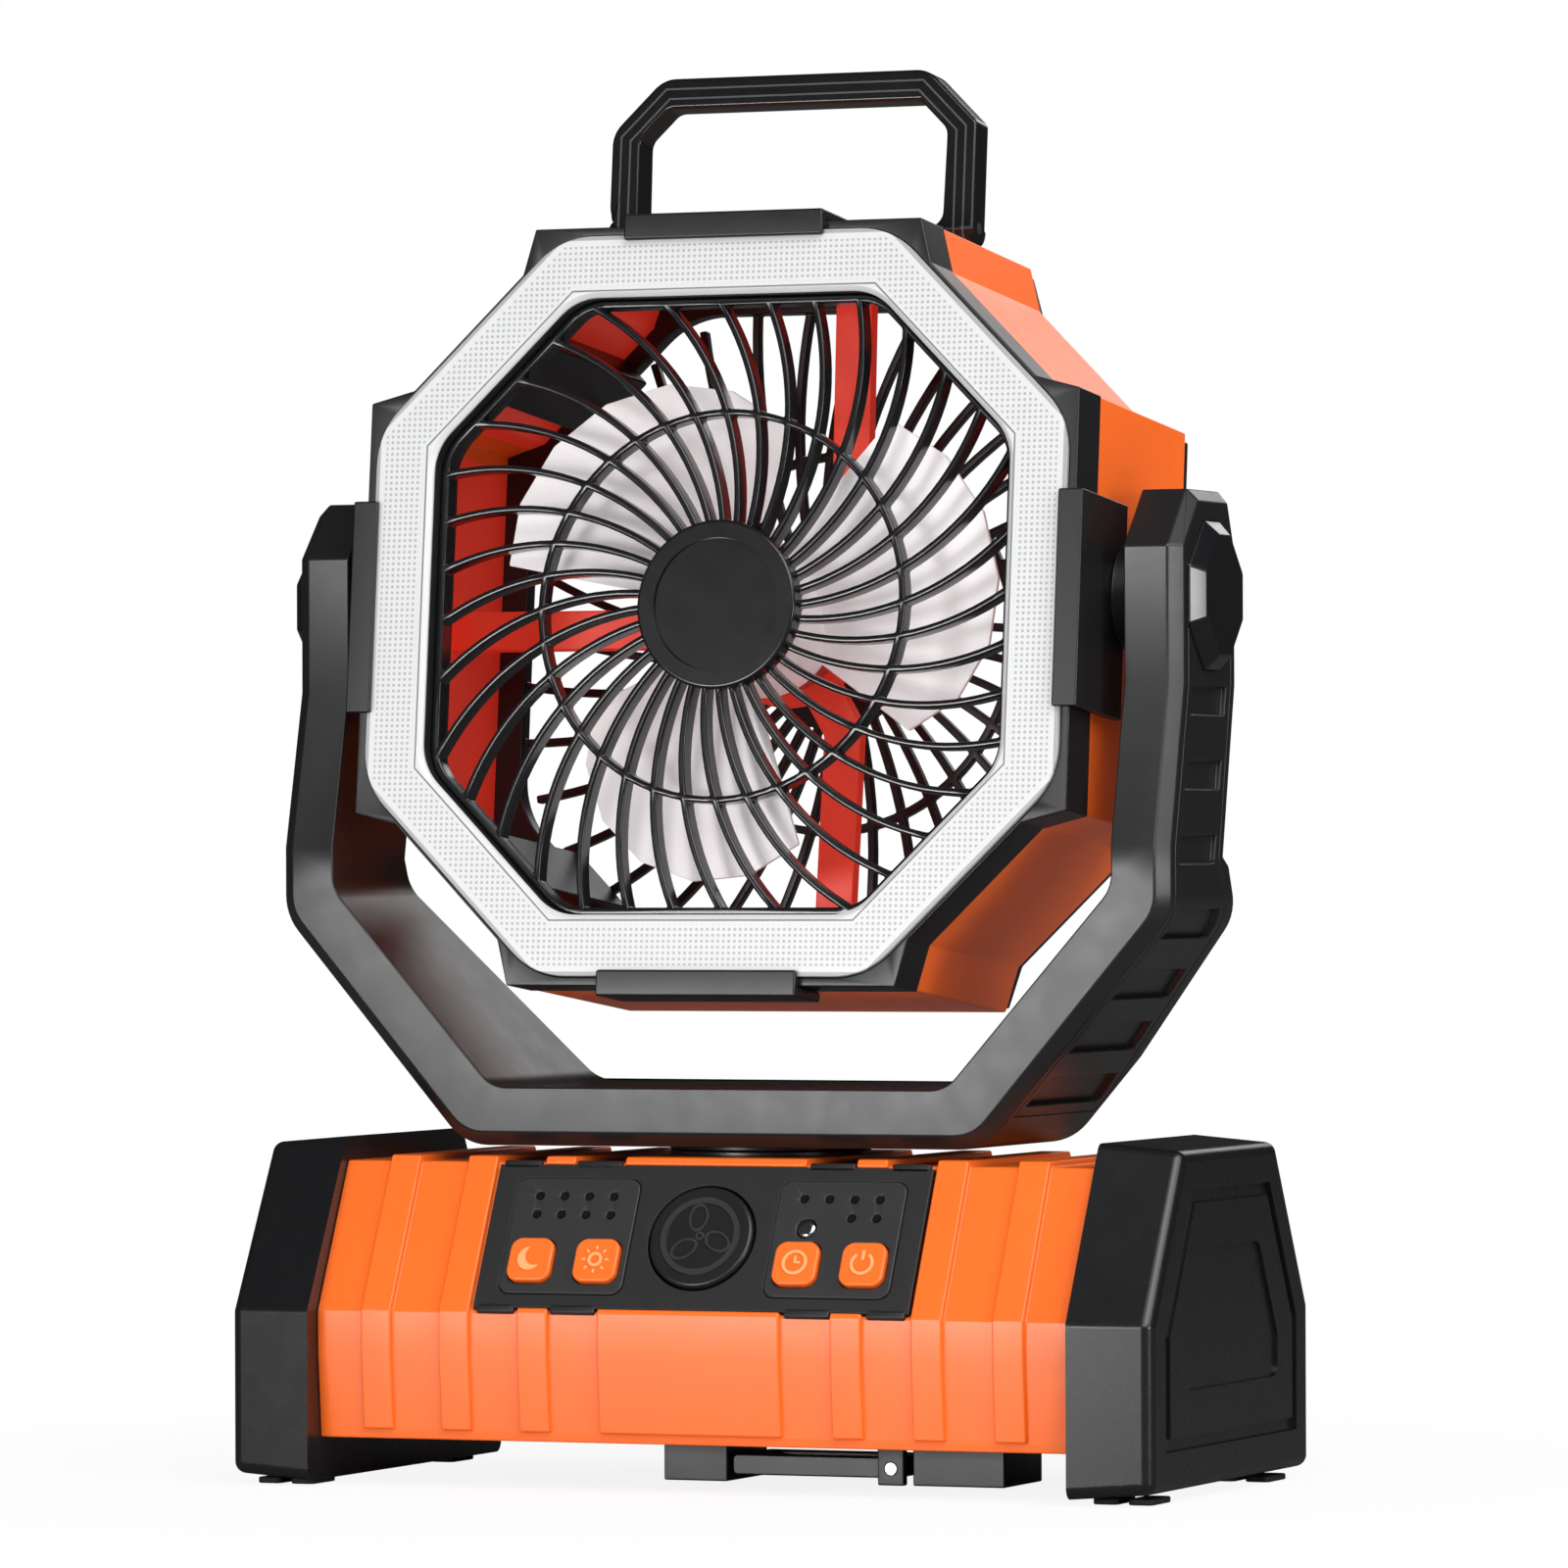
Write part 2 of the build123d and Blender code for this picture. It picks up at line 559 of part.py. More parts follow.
# --- base: control panel ------------------------------------------------------------------------------
with BuildPart() as control_panel:
    with BuildSketch(slope.offset(panel_back)):
        Rectangle(panel_width - 2 * SEAT, panel_height - 2 * SEAT)
    extrude(amount=BODY_WALL + PANEL_PROUD)
    with BuildSketch(slope.offset(panel_back - PANEL_FLANGE_THICK)):
        Rectangle(panel_width + 2 * PANEL_FLANGE, panel_height - 4 * PANEL_FLANGE)
    extrude(amount=PANEL_FLANGE_THICK)
    with BuildSketch(slope.offset(panel_back - PANEL_FLANGE_THICK)):
        Rectangle(panel_width - 2 * PANEL_FLANGE, panel_height)
    extrude(amount=PANEL_FLANGE_THICK, mode=Mode.SUBTRACT)
    # seats of the two indicator plates
    with BuildSketch(slope.offset(PANEL_PROUD - PLATE_THICK + PLATE_PROUD)):
        with Locations((-plate_x, 0), (plate_x, 0)):
            RectangleRounded(PLATE_WIDTH + 2 * SEAT, PLATE_HEIGHT + 2 * SEAT, PLATE_CORNER)
    extrude(amount=2 * PLATE_THICK, mode=Mode.SUBTRACT)
    # holes for the keys, the lights and the remote-control eye
    with BuildSketch(slope.offset(panel_back)):
        with Locations(*key_centres):
            RectangleRounded(KEY_SIZE + 2 * CLEAR, KEY_SIZE + 2 * CLEAR, KEY_CORNER + CLEAR)
        Circle(FAN_KEY_RADIUS + FAN_KEY_GAP)
        with Locations(*left_lights, *right_lights):
            Circle(LIGHT_RADIUS + SEAT)
        with Locations(eye_centre):
            Circle(EYE_RADIUS + SEAT)
    extrude(amount=3 * BODY_WALL, mode=Mode.SUBTRACT)
control_panel.part.label = "control_panel"
export_step(control_panel.part, "parts/control_panel.step")

with BuildPart() as indicator_plates:
    with BuildSketch(slope.offset(PANEL_PROUD - PLATE_THICK + PLATE_PROUD)):
        with Locations((-plate_x, 0), (plate_x, 0)):
            RectangleRounded(PLATE_WIDTH, PLATE_HEIGHT, PLATE_CORNER)
        with Locations(*key_centres):
            RectangleRounded(
                KEY_SIZE + 2 * CLEAR, KEY_SIZE + 2 * CLEAR, KEY_CORNER + CLEAR, mode=Mode.SUBTRACT
            )
        with Locations(*left_lights, *right_lights):
            Circle(LIGHT_RADIUS + SEAT, mode=Mode.SUBTRACT)
        with Locations(eye_centre):
            Circle(EYE_RADIUS + SEAT, mode=Mode.SUBTRACT)
    extrude(amount=PLATE_THICK)
indicator_plates.part.label = "indicator_plates"
export_step(indicator_plates.part, "parts/indicator_plates.step")

with BuildPart() as indicator_lights:
    with BuildSketch(slope.offset(board_front)):
        with Locations(*left_lights, *right_lights):
            Circle(LIGHT_RADIUS)
    extrude(amount=PANEL_PROUD + PLATE_PROUD - board_front)
indicator_lights.part.label = "indicator_lights"
export_step(indicator_lights.part, "parts/indicator_lights.step")

with BuildPart() as remote_eye:
    with BuildSketch(slope.offset(board_front)):
        with Locations(eye_centre):
            Circle(EYE_RADIUS)
    extrude(amount=PANEL_PROUD + PLATE_PROUD - board_front)
    fillet(remote_eye.faces().sort_by(Axis.Y)[0].edges(), EYE_RADIUS / 2)
remote_eye.part.label = "remote_eye"
export_step(remote_eye.part, "parts/remote_eye.step")

for name, centre in zip(key_names, key_centres):
    with BuildPart() as key:
        with BuildSketch(slope.offset(key_flange_back)):
            with Locations(centre):
                RectangleRounded(KEY_SIZE, KEY_SIZE, KEY_CORNER)
        extrude(amount=PANEL_PROUD + PLATE_PROUD + KEY_PROUD - key_flange_back)
        fillet(key.faces().sort_by(Axis.Y)[0].edges(), KEY_PROUD / 2)
        with BuildSketch(slope.offset(key_flange_back)):
            with Locations(centre):
                RectangleRounded(KEY_SIZE + 2 * KEY_FLANGE, KEY_SIZE + 2 * KEY_FLANGE, KEY_CORNER)
        extrude(amount=KEY_FLANGE_THICK)
    key.part.label = name
    export_step(key.part, f"parts/{name}.step")

with BuildPart() as button_fan:
    with BuildSketch(slope.offset(key_flange_back)):
        Circle(FAN_KEY_RADIUS)
    extrude(amount=PANEL_PROUD + FAN_KEY_PROUD - key_flange_back)
    fillet(button_fan.faces().sort_by(Axis.Y)[0].edges(), FAN_KEY_PROUD)
    with BuildSketch(slope.offset(key_flange_back)):
        Circle(FAN_KEY_RADIUS + FAN_KEY_GAP + KEY_FLANGE)
    extrude(amount=KEY_FLANGE_THICK)
button_fan.part.label = "button_fan"
export_step(button_fan.part, "parts/button_fan.step")

# --- base: control board with its switches -------------------------------------------------------------
with BuildPart() as control_board:
    with BuildSketch(slope.offset(board_front - BOARD_THICK)):
        Rectangle(board_width, BOARD_HEIGHT)
    extrude(amount=BOARD_THICK)
    # side standoffs reach the panel's back
    with BuildSketch(slope.offset(board_front)):
        with GridLocations(board_width - SWITCH_SIZE, BOARD_HEIGHT - SWITCH_SIZE / 2, 2, 2):
            Circle(SCREW_RADIUS)
    extrude(amount=panel_back - board_front)
control_board.part.label = "control_board"
export_step(control_board.part, "parts/control_board.step")

with BuildPart() as tact_switches:
    with BuildSketch(slope.offset(board_front)):
        with Locations(*key_centres, (0, 0)):
            Rectangle(SWITCH_SIZE, SWITCH_SIZE)
    extrude(amount=SWITCH_HEIGHT - KEY_TRAVEL)
    with BuildSketch(slope.offset(board_front)):
        with Locations(*key_centres, (0, 0)):
            Circle(SWITCH_SIZE / 4)
    extrude(amount=SWITCH_HEIGHT)
tact_switches.part.label = "tact_switches"
export_step(tact_switches.part, "parts/tact_switches.step")

# --- base: battery ------------------------------------------------------------------------------------
tray_floor_z = BODY_BOTTOM_Z + COVER_THICK
cell_z = tray_floor_z + TRAY_WALL + CELL_RADIUS
cell_x = (CELL_LENGTH + CELL_GAP) / 2
tray_length = 2 * CELL_LENGTH + CELL_GAP + 2 * (TRAY_WALL + SEAT)
tray_width = CELL_PITCH * (CELL_ROWS - 1) + 2 * (CELL_RADIUS + TRAY_WALL + SEAT)
with BuildPart() as battery_tray:
    with BuildSketch(Plane.XY.offset(tray_floor_z)):
        Rectangle(tray_length, tray_width)
    extrude(amount=TRAY_WALL + CELL_RADIUS)
    with BuildSketch(Plane.XY.offset(tray_floor_z + TRAY_WALL)):
        Rectangle(tray_length - 2 * TRAY_WALL, tray_width - 2 * TRAY_WALL)
    extrude(amount=CELL_RADIUS, mode=Mode.SUBTRACT)
battery_tray.part.label = "battery_tray"
export_step(battery_tray.part, "parts/battery_tray.step")

with BuildPart() as battery_cells:
    for side in (-1, 1):
        with BuildSketch(Plane.YZ.offset(side * cell_x)):
            with Locations((0, cell_z)):
                with GridLocations(CELL_PITCH, 0, CELL_ROWS, 1):
                    Circle(CELL_RADIUS)
        extrude(amount=CELL_LENGTH / 2, both=True)
battery_cells.part.label = "battery_cells"
export_step(battery_cells.part, "parts/battery_cells.step")

# --- base: sockets and their flap ---------------------------------------------------------------------
with BuildPart() as usb_sockets:
    with BuildSketch(Plane.XZ.offset(-BODY_HALF)):
        with Locations((USB_A_X, port_z)):
            Rectangle(USB_A_SIZE[0], USB_A_SIZE[1])
            Rectangle(USB_A_SIZE[0] - 1, USB_A_SIZE[1] - 1, mode=Mode.SUBTRACT)
        with Locations((USB_C_X, port_z)):
            RectangleRounded(USB_C_SIZE[0], USB_C_SIZE[1], USB_C_SIZE[1] / 2 - 0.01)
            RectangleRounded(
                USB_C_SIZE[0] - 1, USB_C_SIZE[1] - 1, USB_C_SIZE[1] / 2 - 0.6, mode=Mode.SUBTRACT
            )
    extrude(amount=USB_DEPTH)
    with BuildSketch(Plane.XZ.offset(USB_DEPTH - BODY_HALF)):
        with Locations((USB_A_X, port_z)):
            Rectangle(USB_A_SIZE[0], USB_A_SIZE[1])
        with Locations((USB_C_X, port_z)):
            Rectangle(USB_C_SIZE[0], USB_C_SIZE[1])
    extrude(amount=1)
usb_sockets.part.label = "usb_sockets"
export_step(usb_sockets.part, "parts/usb_sockets.step")

with BuildPart() as socket_board:
    with BuildSketch(Plane.XY.offset(port_z - USB_A_SIZE[1] / 2 - BOARD_THICK)):
        with Locations((0, BODY_HALF - BODY_WALL - USB_DEPTH / 2)):
            Rectangle(PORT_WIDTH, USB_DEPTH)
    extrude(amount=BOARD_THICK)
socket_board.part.label = "socket_board"
export_step(socket_board.part, "parts/socket_board.step")

flap_width = PORT_WIDTH - 2 * CLEAR
with BuildPart() as socket_flap:
    with BuildSketch(Plane.YZ):
        with Locations((flap_axis_y, flap_axis_z)):
            Circle(FLAP_THICK / 2)
            Rectangle(FLAP_THICK, PORT_HEIGHT - FLAP_THICK / 2 - 2 * CLEAR, align=(Align.CENTER, Align.MIN))
    extrude(amount=flap_width / 2, both=True)
    with BuildSketch(Plane.YZ):
        with Locations((flap_axis_y, flap_axis_z)):
            Circle(FLAP_PIN_RADIUS)
    extrude(amount=PORT_WIDTH / 2 + FLAP_PIN_LENGTH, both=True)
socket_flap.part.label = "socket_flap"
export_step(socket_flap.part, "parts/socket_flap.step")

# --- base: hanging hook -------------------------------------------------------------------------------
hook_tip_x = HOOK_PIN_X - HOOK_LENGTH
hook_block_top = BODY_BOTTOM_Z - HOOK_PLATE_THICK
ear_gap = HOOK_WIDTH + 2 * CLEAR
with BuildPart() as hook_bracket:
    with BuildSketch(Plane.XY.offset(hook_block_top)):
        with Locations((hook_tip_x - HOOK_BLOCK_LENGTH - CLEAR, HOOK_Y)):
            Rectangle(
                BODY_LENGTH / 2 - hook_tip_x + HOOK_BLOCK_LENGTH,
                HOOK_PLATE_WIDTH,
                align=(Align.MIN, Align.CENTER),
            )
    extrude(amount=HOOK_PLATE_THICK)
    with BuildSketch(Plane.XY.offset(hook_block_top - HOOK_BLOCK_THICK)):
        with Locations((hook_tip_x - HOOK_BLOCK_LENGTH / 2 - 2 * CLEAR, HOOK_Y)):
            Rectangle(HOOK_BLOCK_LENGTH, HOOK_BLOCK_WIDTH)
        with Locations((HOOK_PIN_X + HOOK_BAR + HOOK_REAR_BLOCK_LENGTH / 2, HOOK_Y)):
            Rectangle(HOOK_REAR_BLOCK_LENGTH, HOOK_BLOCK_WIDTH)
    extrude(amount=HOOK_BLOCK_THICK)
    for side in (-1, 1):
        with BuildSketch(Plane.XZ.offset(-HOOK_Y - side * (ear_gap + EAR_THICK) / 2)):
            with Locations((HOOK_PIN_X, hook_block_top)):
                Rectangle(EAR_LENGTH, HOOK_BLOCK_THICK, align=(Align.CENTER, Align.MAX))
        extrude(amount=EAR_THICK / 2, both=True)
    with BuildSketch(Plane.XZ.offset(-HOOK_Y)):
        with Locations((HOOK_PIN_X, HOOK_PIN_Z)):
            Circle(HOOK_PIN_RADIUS)
    extrude(amount=HOOK_PLATE_WIDTH, both=True, mode=Mode.SUBTRACT)
hook_bracket.part.label = "hook_bracket"
export_step(hook_bracket.part, "parts/hook_bracket.step")

with BuildPart() as hook_pin:
    with BuildSketch(Plane.XZ.offset(-HOOK_Y)):
        with Locations((HOOK_PIN_X, HOOK_PIN_Z)):
            Circle(HOOK_PIN_RADIUS)
    extrude(amount=ear_gap / 2 + EAR_THICK, both=True)
hook_pin.part.label = "hook_pin"
export_step(hook_pin.part, "parts/hook_pin.step")

hook_knuckle = HOOK_THICK / 2
with BuildPart() as hanging_hook:
    with BuildSketch(Plane.XZ.offset(-HOOK_Y)):
        with Locations((HOOK_PIN_X, HOOK_PIN_Z)):
            Circle(hook_knuckle)
            Rectangle(HOOK_LENGTH, HOOK_THICK, align=(Align.MAX, Align.CENTER))
    extrude(amount=HOOK_WIDTH / 2, both=True)
    with BuildSketch(Plane.XY.offset(HOOK_PIN_Z - HOOK_THICK)):
        with Locations(((hook_tip_x + HOOK_PIN_X) / 2, HOOK_Y)):
            Rectangle(HOOK_LENGTH - 2 * HOOK_BAR, HOOK_WIDTH - 2 * HOOK_BAR)
    extrude(amount=2 * HOOK_THICK, mode=Mode.SUBTRACT)
    tip_edges = hanging_hook.edges().filter_by(Axis.Y).group_by(Axis.X)[0]
    fillet(tip_edges, hook_knuckle / 2)
    with BuildSketch(Plane.XZ.offset(-HOOK_Y)):
        with Locations((HOOK_PIN_X, HOOK_PIN_Z)):
            Circle(HOOK_PIN_RADIUS + RUN)
    extrude(amount=HOOK_WIDTH, both=True, mode=Mode.SUBTRACT)
hanging_hook.part.label = "hanging_hook"
export_step(hanging_hook.part, "parts/hanging_hook.step")

# --- turntable ----------------------------------------------------------------------------------------
with BuildPart() as turntable_ring:
    with BuildSketch(Plane.XY.offset(deck_z)):
        Circle(TABLE_RADIUS)
        Circle(SPINDLE_RADIUS + CLEAR, mode=Mode.SUBTRACT)
    extrude(amount=TABLE_THICK)
turntable_ring.part.label = "turntable_ring"
export_step(turntable_ring.part, "parts/turntable_ring.step")

with BuildPart() as turntable_disc:
    with BuildSketch(Plane.XY.offset(deck_z + TABLE_THICK + CLEAR)):
        Circle(TABLE_RADIUS)
        Circle(SPINDLE_RADIUS, mode=Mode.SUBTRACT)
    extrude(amount=YOKE_BOTTOM_Z - deck_z - TABLE_THICK - CLEAR)
turntable_disc.part.label = "turntable_disc"
export_step(turntable_disc.part, "parts/turntable_disc.step")

with BuildPart() as spindle_bush:
    with BuildSketch(Plane.XY.offset(deck_z - BUSH_LENGTH)):
        Circle(bush_radius)
        Circle(SPINDLE_RADIUS + RUN, mode=Mode.SUBTRACT)
    extrude(amount=BUSH_LENGTH)
spindle_bush.part.label = "spindle_bush"
export_step(spindle_bush.part, "parts/spindle_bush.step")

with BuildPart() as spindle:
    with BuildSketch(Plane.XY.offset(GEAR_Z)):
        Circle(SPINDLE_RADIUS)
        Circle(SPINDLE_RADIUS / 2, mode=Mode.SUBTRACT)
    extrude(amount=YOKE_BOTTOM_Z + SPINDLE_SOCKET - GEAR_Z)
spindle.part.label = "spindle"
export_step(spindle.part, "parts/spindle.step")


# --- swing drive --------------------------------------------------------------------------------------
def polar(radius, angle):
    """Point at a radius and an angle in radians."""
    return (radius * cos(angle), radius * sin(angle))


def involute(angle):
    """Involute function of a pressure angle in radians."""
    return tan(angle) - angle


def gear_outline(teeth, first_angle):
    """Outline of a spur gear, one tooth centred on first_angle (radians)."""
    pitch_radius = GEAR_MODULE * teeth / 2
    base_radius = pitch_radius * cos(radians(PRESSURE_ANGLE))
    tip_radius = pitch_radius + ADDENDUM * GEAR_MODULE
    root_radius = pitch_radius - DEDENDUM * GEAR_MODULE
    start_radius = max(base_radius, root_radius)
    half_tooth = pi / (2 * teeth) - BACKLASH / (2 * pitch_radius) + involute(radians(PRESSURE_ANGLE))
    radii = [start_radius + (tip_radius - start_radius) * step / 3 for step in range(4)]
    spans = [half_tooth - involute(acos(min(1, base_radius / radius))) for radius in radii]
    with BuildSketch(Plane.XY) as outline:
        with BuildLine():
            roots = []
            for tooth in range(teeth):
                centre = first_angle + 2 * pi * tooth / teeth
                rising = [polar(radius, centre - span) for radius, span in zip(radii, spans)]
                falling = [polar(radius, centre + span) for radius, span in zip(radii, spans)]
                low = polar(root_radius, centre - spans[0])
                high = polar(root_radius, centre + spans[0])
                Line(low, rising[0])
                Spline(rising)
                Line(rising[-1], falling[-1])
                Spline(falling)
                Line(falling[0], high)
                roots += [low, high]
            for tooth in range(teeth):
                Line(roots[2 * tooth + 1], roots[(2 * tooth + 2) % len(roots)])
        make_face()
    return outline.sketch


with BuildPart() as swing_gear:
    with BuildSketch(Plane.XY.offset(GEAR_Z)):
        add(gear_outline(GEAR_TEETH, 0))
        Circle(SPINDLE_RADIUS, mode=Mode.SUBTRACT)
    extrude(amount=GEAR_THICK)
swing_gear.part.label = "swing_gear"
export_step(swing_gear.part, "parts/swing_gear.step")

swing_motor_z = GEAR_Z + GEAR_THICK + PINION_GAP
with BuildPart() as swing_pinion:
    # a gap of the pinion faces the gear's tooth on the line of centres
    with BuildSketch(Plane(origin=(pinion_x, 0, GEAR_Z), z_dir=(0, 0, 1))):
        add(gear_outline(PINION_TEETH, pi + pi / PINION_TEETH))
    extrude(amount=GEAR_THICK)
    with BuildSketch(Plane.XY.offset(GEAR_Z)):
        with Locations((pinion_x, 0)):
            Circle(MOTOR_SHAFT_RADIUS)
    extrude(amount=GEAR_THICK + PINION_GAP + MOTOR_SHAFT_DEPTH)
swing_pinion.part.label = "swing_pinion"
export_step(swing_pinion.part, "parts/swing_pinion.step")

with BuildPart() as swing_motor:
    with BuildSketch(Plane.XY.offset(swing_motor_z)):
        with Locations((pinion_x, 0)):
            Circle(SWING_MOTOR_RADIUS)
    extrude(amount=inner_top_z - swing_motor_z)
    with BuildSketch(Plane.XY.offset(swing_motor_z)):
        with Locations((pinion_x, 0)):
            Circle(MOTOR_SHAFT_RADIUS + RUN)
    extrude(amount=MOTOR_SHAFT_DEPTH + CLEAR, mode=Mode.SUBTRACT)
swing_motor.part.label = "swing_motor"
export_step(swing_motor.part, "parts/swing_motor.step")


# --- yoke ---------------------------------------------------------------------------------------------
def yoke_outer(inset):
    """Outer outline of the yoke seen from the front, smaller by inset."""
    half = [
        (YOKE_BOTTOM_HALF, YOKE_BOTTOM_Z),
        (YOKE_HALF, YOKE_CORNER_Z),
        (YOKE_HALF, YOKE_SHOULDER_Z),
        (YOKE_HALF - YOKE_TOP_INSET, YOKE_TOP_Z),
    ]
    Polygon(mirrored(half), align=None)
    corners = vertices().filter_by(lambda v: v.Y < YOKE_CORNER_Z + 1)
    fillet(corners, YOKE_OUTER_RADIUS)
    if inset:
        offset(amount=-inset, kind=Kind.INTERSECTION)


def yoke_side(inset):
    """Side outline of the yoke, its arms leaning back as they rise, smaller by inset."""
    Polygon(
        [
            (-YOKE_FRONT, YOKE_BOTTOM_Z),
            (-YOKE_FRONT, YOKE_TAPER_Z),
            (-YOKE_ARM_FRONT, YOKE_FOLD_Z),
            (-YOKE_ARM_FRONT, YOKE_TOP_Z - YOKE_TIP_DROP),
            (YOKE_TIP_FRONT - YOKE_ARM_FRONT, YOKE_TOP_Z),
            (YOKE_ARM_BACK - YOKE_TIP_BACK, YOKE_TOP_Z),
            (YOKE_ARM_BACK, YOKE_TOP_Z - YOKE_TIP_DROP),
            (YOKE_ARM_BACK, YOKE_FOLD_Z),
            (YOKE_WAIST_BACK, YOKE_WAIST_Z),
            (YOKE_BACK, YOKE_BACK_TAPER_Z),
            (YOKE_BACK, YOKE_BOTTOM_Z),
        ],
        align=None,
    )
    if inset:
        offset(amount=-inset, kind=Kind.INTERSECTION)


# Height and depth of the arms' front and back edges, which are bevelled.
front_edge = [
    (YOKE_TAPER_Z, YOKE_FRONT),
    (YOKE_FOLD_Z, YOKE_ARM_FRONT),
    (YOKE_TOP_Z - YOKE_TIP_DROP, YOKE_ARM_FRONT),
    (YOKE_TOP_Z, YOKE_ARM_FRONT - YOKE_TIP_FRONT),
]
back_edge = [
    (YOKE_CORNER_Z, YOKE_BACK),
    (YOKE_WAIST_Z, YOKE_WAIST_BACK),
    (YOKE_FOLD_Z, YOKE_ARM_BACK),
    (YOKE_TOP_Z - YOKE_TIP_DROP, YOKE_ARM_BACK),
    (YOKE_TOP_Z, YOKE_ARM_BACK - YOKE_TIP_BACK),
]
yoke_depth = YOKE_FRONT + YOKE_BACK
yoke_inner_half = YOKE_HALF - YOKE_WALL
yoke_inner_bottom_z = YOKE_BOTTOM_Z + YOKE_WALL
yoke_inner_corner_z = YOKE_CORNER_Z + YOKE_INNER_RISE


def yoke_band(near, far, margin, top_z):
    """Band that lies under the outer faces of both arms, from one depth to another, inside a margin."""
    with BuildPart() as band:
        with BuildSketch(Plane.XZ):
            yoke_outer(near)
            with BuildSketch(Plane.XZ, mode=Mode.SUBTRACT):
                yoke_outer(far)
            with Locations((0, top_z)):
                Rectangle(3 * YOKE_HALF, YOKE_HALF, align=(Align.CENTER, Align.MIN), mode=Mode.SUBTRACT)
            with Locations((0, SKIN_BOTTOM_Z)):
                Rectangle(3 * YOKE_HALF, YOKE_HALF, align=(Align.CENTER, Align.MAX), mode=Mode.SUBTRACT)
        extrude(amount=yoke_depth, both=True)
        with BuildSketch(Plane.YZ):
            yoke_side(margin)
        extrude(amount=2 * YOKE_HALF, both=True, mode=Mode.INTERSECT)
    return band.part


pivot_end_x = YOKE_HALF - SKIN_THICK - CLEAR
bush_seat_radius = PIVOT_RADIUS + RUN + PIVOT_BUSH_WALL
with BuildPart() as yoke_frame:
    with BuildSketch(Plane.XZ.offset(-YOKE_BACK)):
        yoke_outer(0)
    extrude(amount=yoke_depth)
    rim = yoke_frame.edges().filter_by(Axis.Y, reverse=True)
    chamfer(rim.filter_by(lambda e: e.center().Z < YOKE_SHOULDER_Z), YOKE_BEVEL)
    with BuildSketch(Plane.YZ):
        yoke_side(0)
    extrude(amount=2 * YOKE_HALF, both=True, mode=Mode.INTERSECT)
    # the bevel goes on up the fronts and backs of the arms
    for edge, front in ((front_edge, -1), (back_edge, 1)):
        for low, high in zip(edge, edge[1:]):
            for side in (-1, 1):
                for height, depth in (low, high):
                    wedge = [
                        (side * (YOKE_HALF - YOKE_BEVEL - 1), front * (depth + 1)),
                        (side * (YOKE_HALF + 1), front * (depth + 1)),
                        (side * (YOKE_HALF + 1), front * (depth - YOKE_BEVEL - 1)),
                    ]
                    with BuildSketch(Plane.XY.offset(height)):
                        Polygon(wedge, align=None)
                loft(ruled=True, mode=Mode.SUBTRACT)
    with BuildSketch(Plane.XZ):
        inner = [
            (YOKE_BOTTOM_HALF - YOKE_INNER_INSET, yoke_inner_bottom_z),
            (yoke_inner_half, yoke_inner_corner_z),
            (yoke_inner_half, YOKE_TOP_Z + YOKE_WALL),
        ]
        Polygon(mirrored(inner), align=None)
        fillet(vertices().filter_by(lambda v: v.Z < yoke_inner_corner_z + 1), YOKE_INNER_RADIUS)
    extrude(amount=yoke_depth, both=True, mode=Mode.SUBTRACT)
    # seat of the outer skins, and the wire way under them
    add(yoke_band(0, SKIN_THICK, SKIN_MARGIN, SKIN_TOP_Z), mode=Mode.SUBTRACT)
    way_margin = SKIN_MARGIN + SKIN_LEDGE
    way_top_z = PIVOT_Z - bush_seat_radius - WIRE_WAY_WALL
    way_bottom = YOKE_WALL - WIRE_WAY_WALL
    add(yoke_band(SKIN_THICK, way_bottom, way_margin, way_top_z), mode=Mode.SUBTRACT)
    # socket for the spindle and bores for the pivot bushes
    with BuildSketch(Plane.XY.offset(YOKE_BOTTOM_Z)):
        Circle(SPINDLE_RADIUS)
    extrude(amount=SPINDLE_SOCKET, mode=Mode.SUBTRACT)
    with BuildSketch(Plane.YZ):
        with Locations((PIVOT_Y, PIVOT_Z)):
            Circle(bush_seat_radius)
    extrude(amount=pivot_end_x, both=True, mode=Mode.SUBTRACT)
yoke_frame.part.label = "yoke_frame"
export_step(yoke_frame.part, "parts/yoke_frame.step")

slope_notches = [BEVEL_NOTCH_Z + NOTCH_STEP * number for number in range(BEVEL_NOTCHES)]
arm_notches = [NOTCH_TOP_Z - NOTCH_PITCH * number for number in range(NOTCH_COUNT)]
with BuildPart() as notches:
    with BuildSketch(Plane.XZ):
        yoke_outer(0)
        with BuildSketch(Plane.XZ, mode=Mode.SUBTRACT):
            yoke_outer(NOTCH_DEPTH)
        with BuildSketch(Plane.XZ, mode=Mode.INTERSECT):
            with Locations(*[(0, z) for z in slope_notches + arm_notches]):
                Rectangle(3 * YOKE_HALF, NOTCH_HEIGHT)
    extrude(amount=yoke_depth, both=True)
    with BuildSketch(Plane.YZ):
        yoke_side(SKIN_MARGIN + NOTCH_MARGIN)
    extrude(amount=2 * YOKE_HALF, both=True, mode=Mode.INTERSECT)

for name, keep in (("yoke_skin_left", Keep.BOTTOM), ("yoke_skin_right", Keep.TOP)):
    with BuildPart() as yoke_skin:
        add(yoke_band(0, SKIN_THICK, SKIN_MARGIN + SEAT, SKIN_TOP_Z - SEAT))
        split(bisect_by=Plane.YZ, keep=keep)
        add(notches.part, mode=Mode.SUBTRACT)
    yoke_skin.part.label = name
    export_step(yoke_skin.part, f"parts/{name}.step")

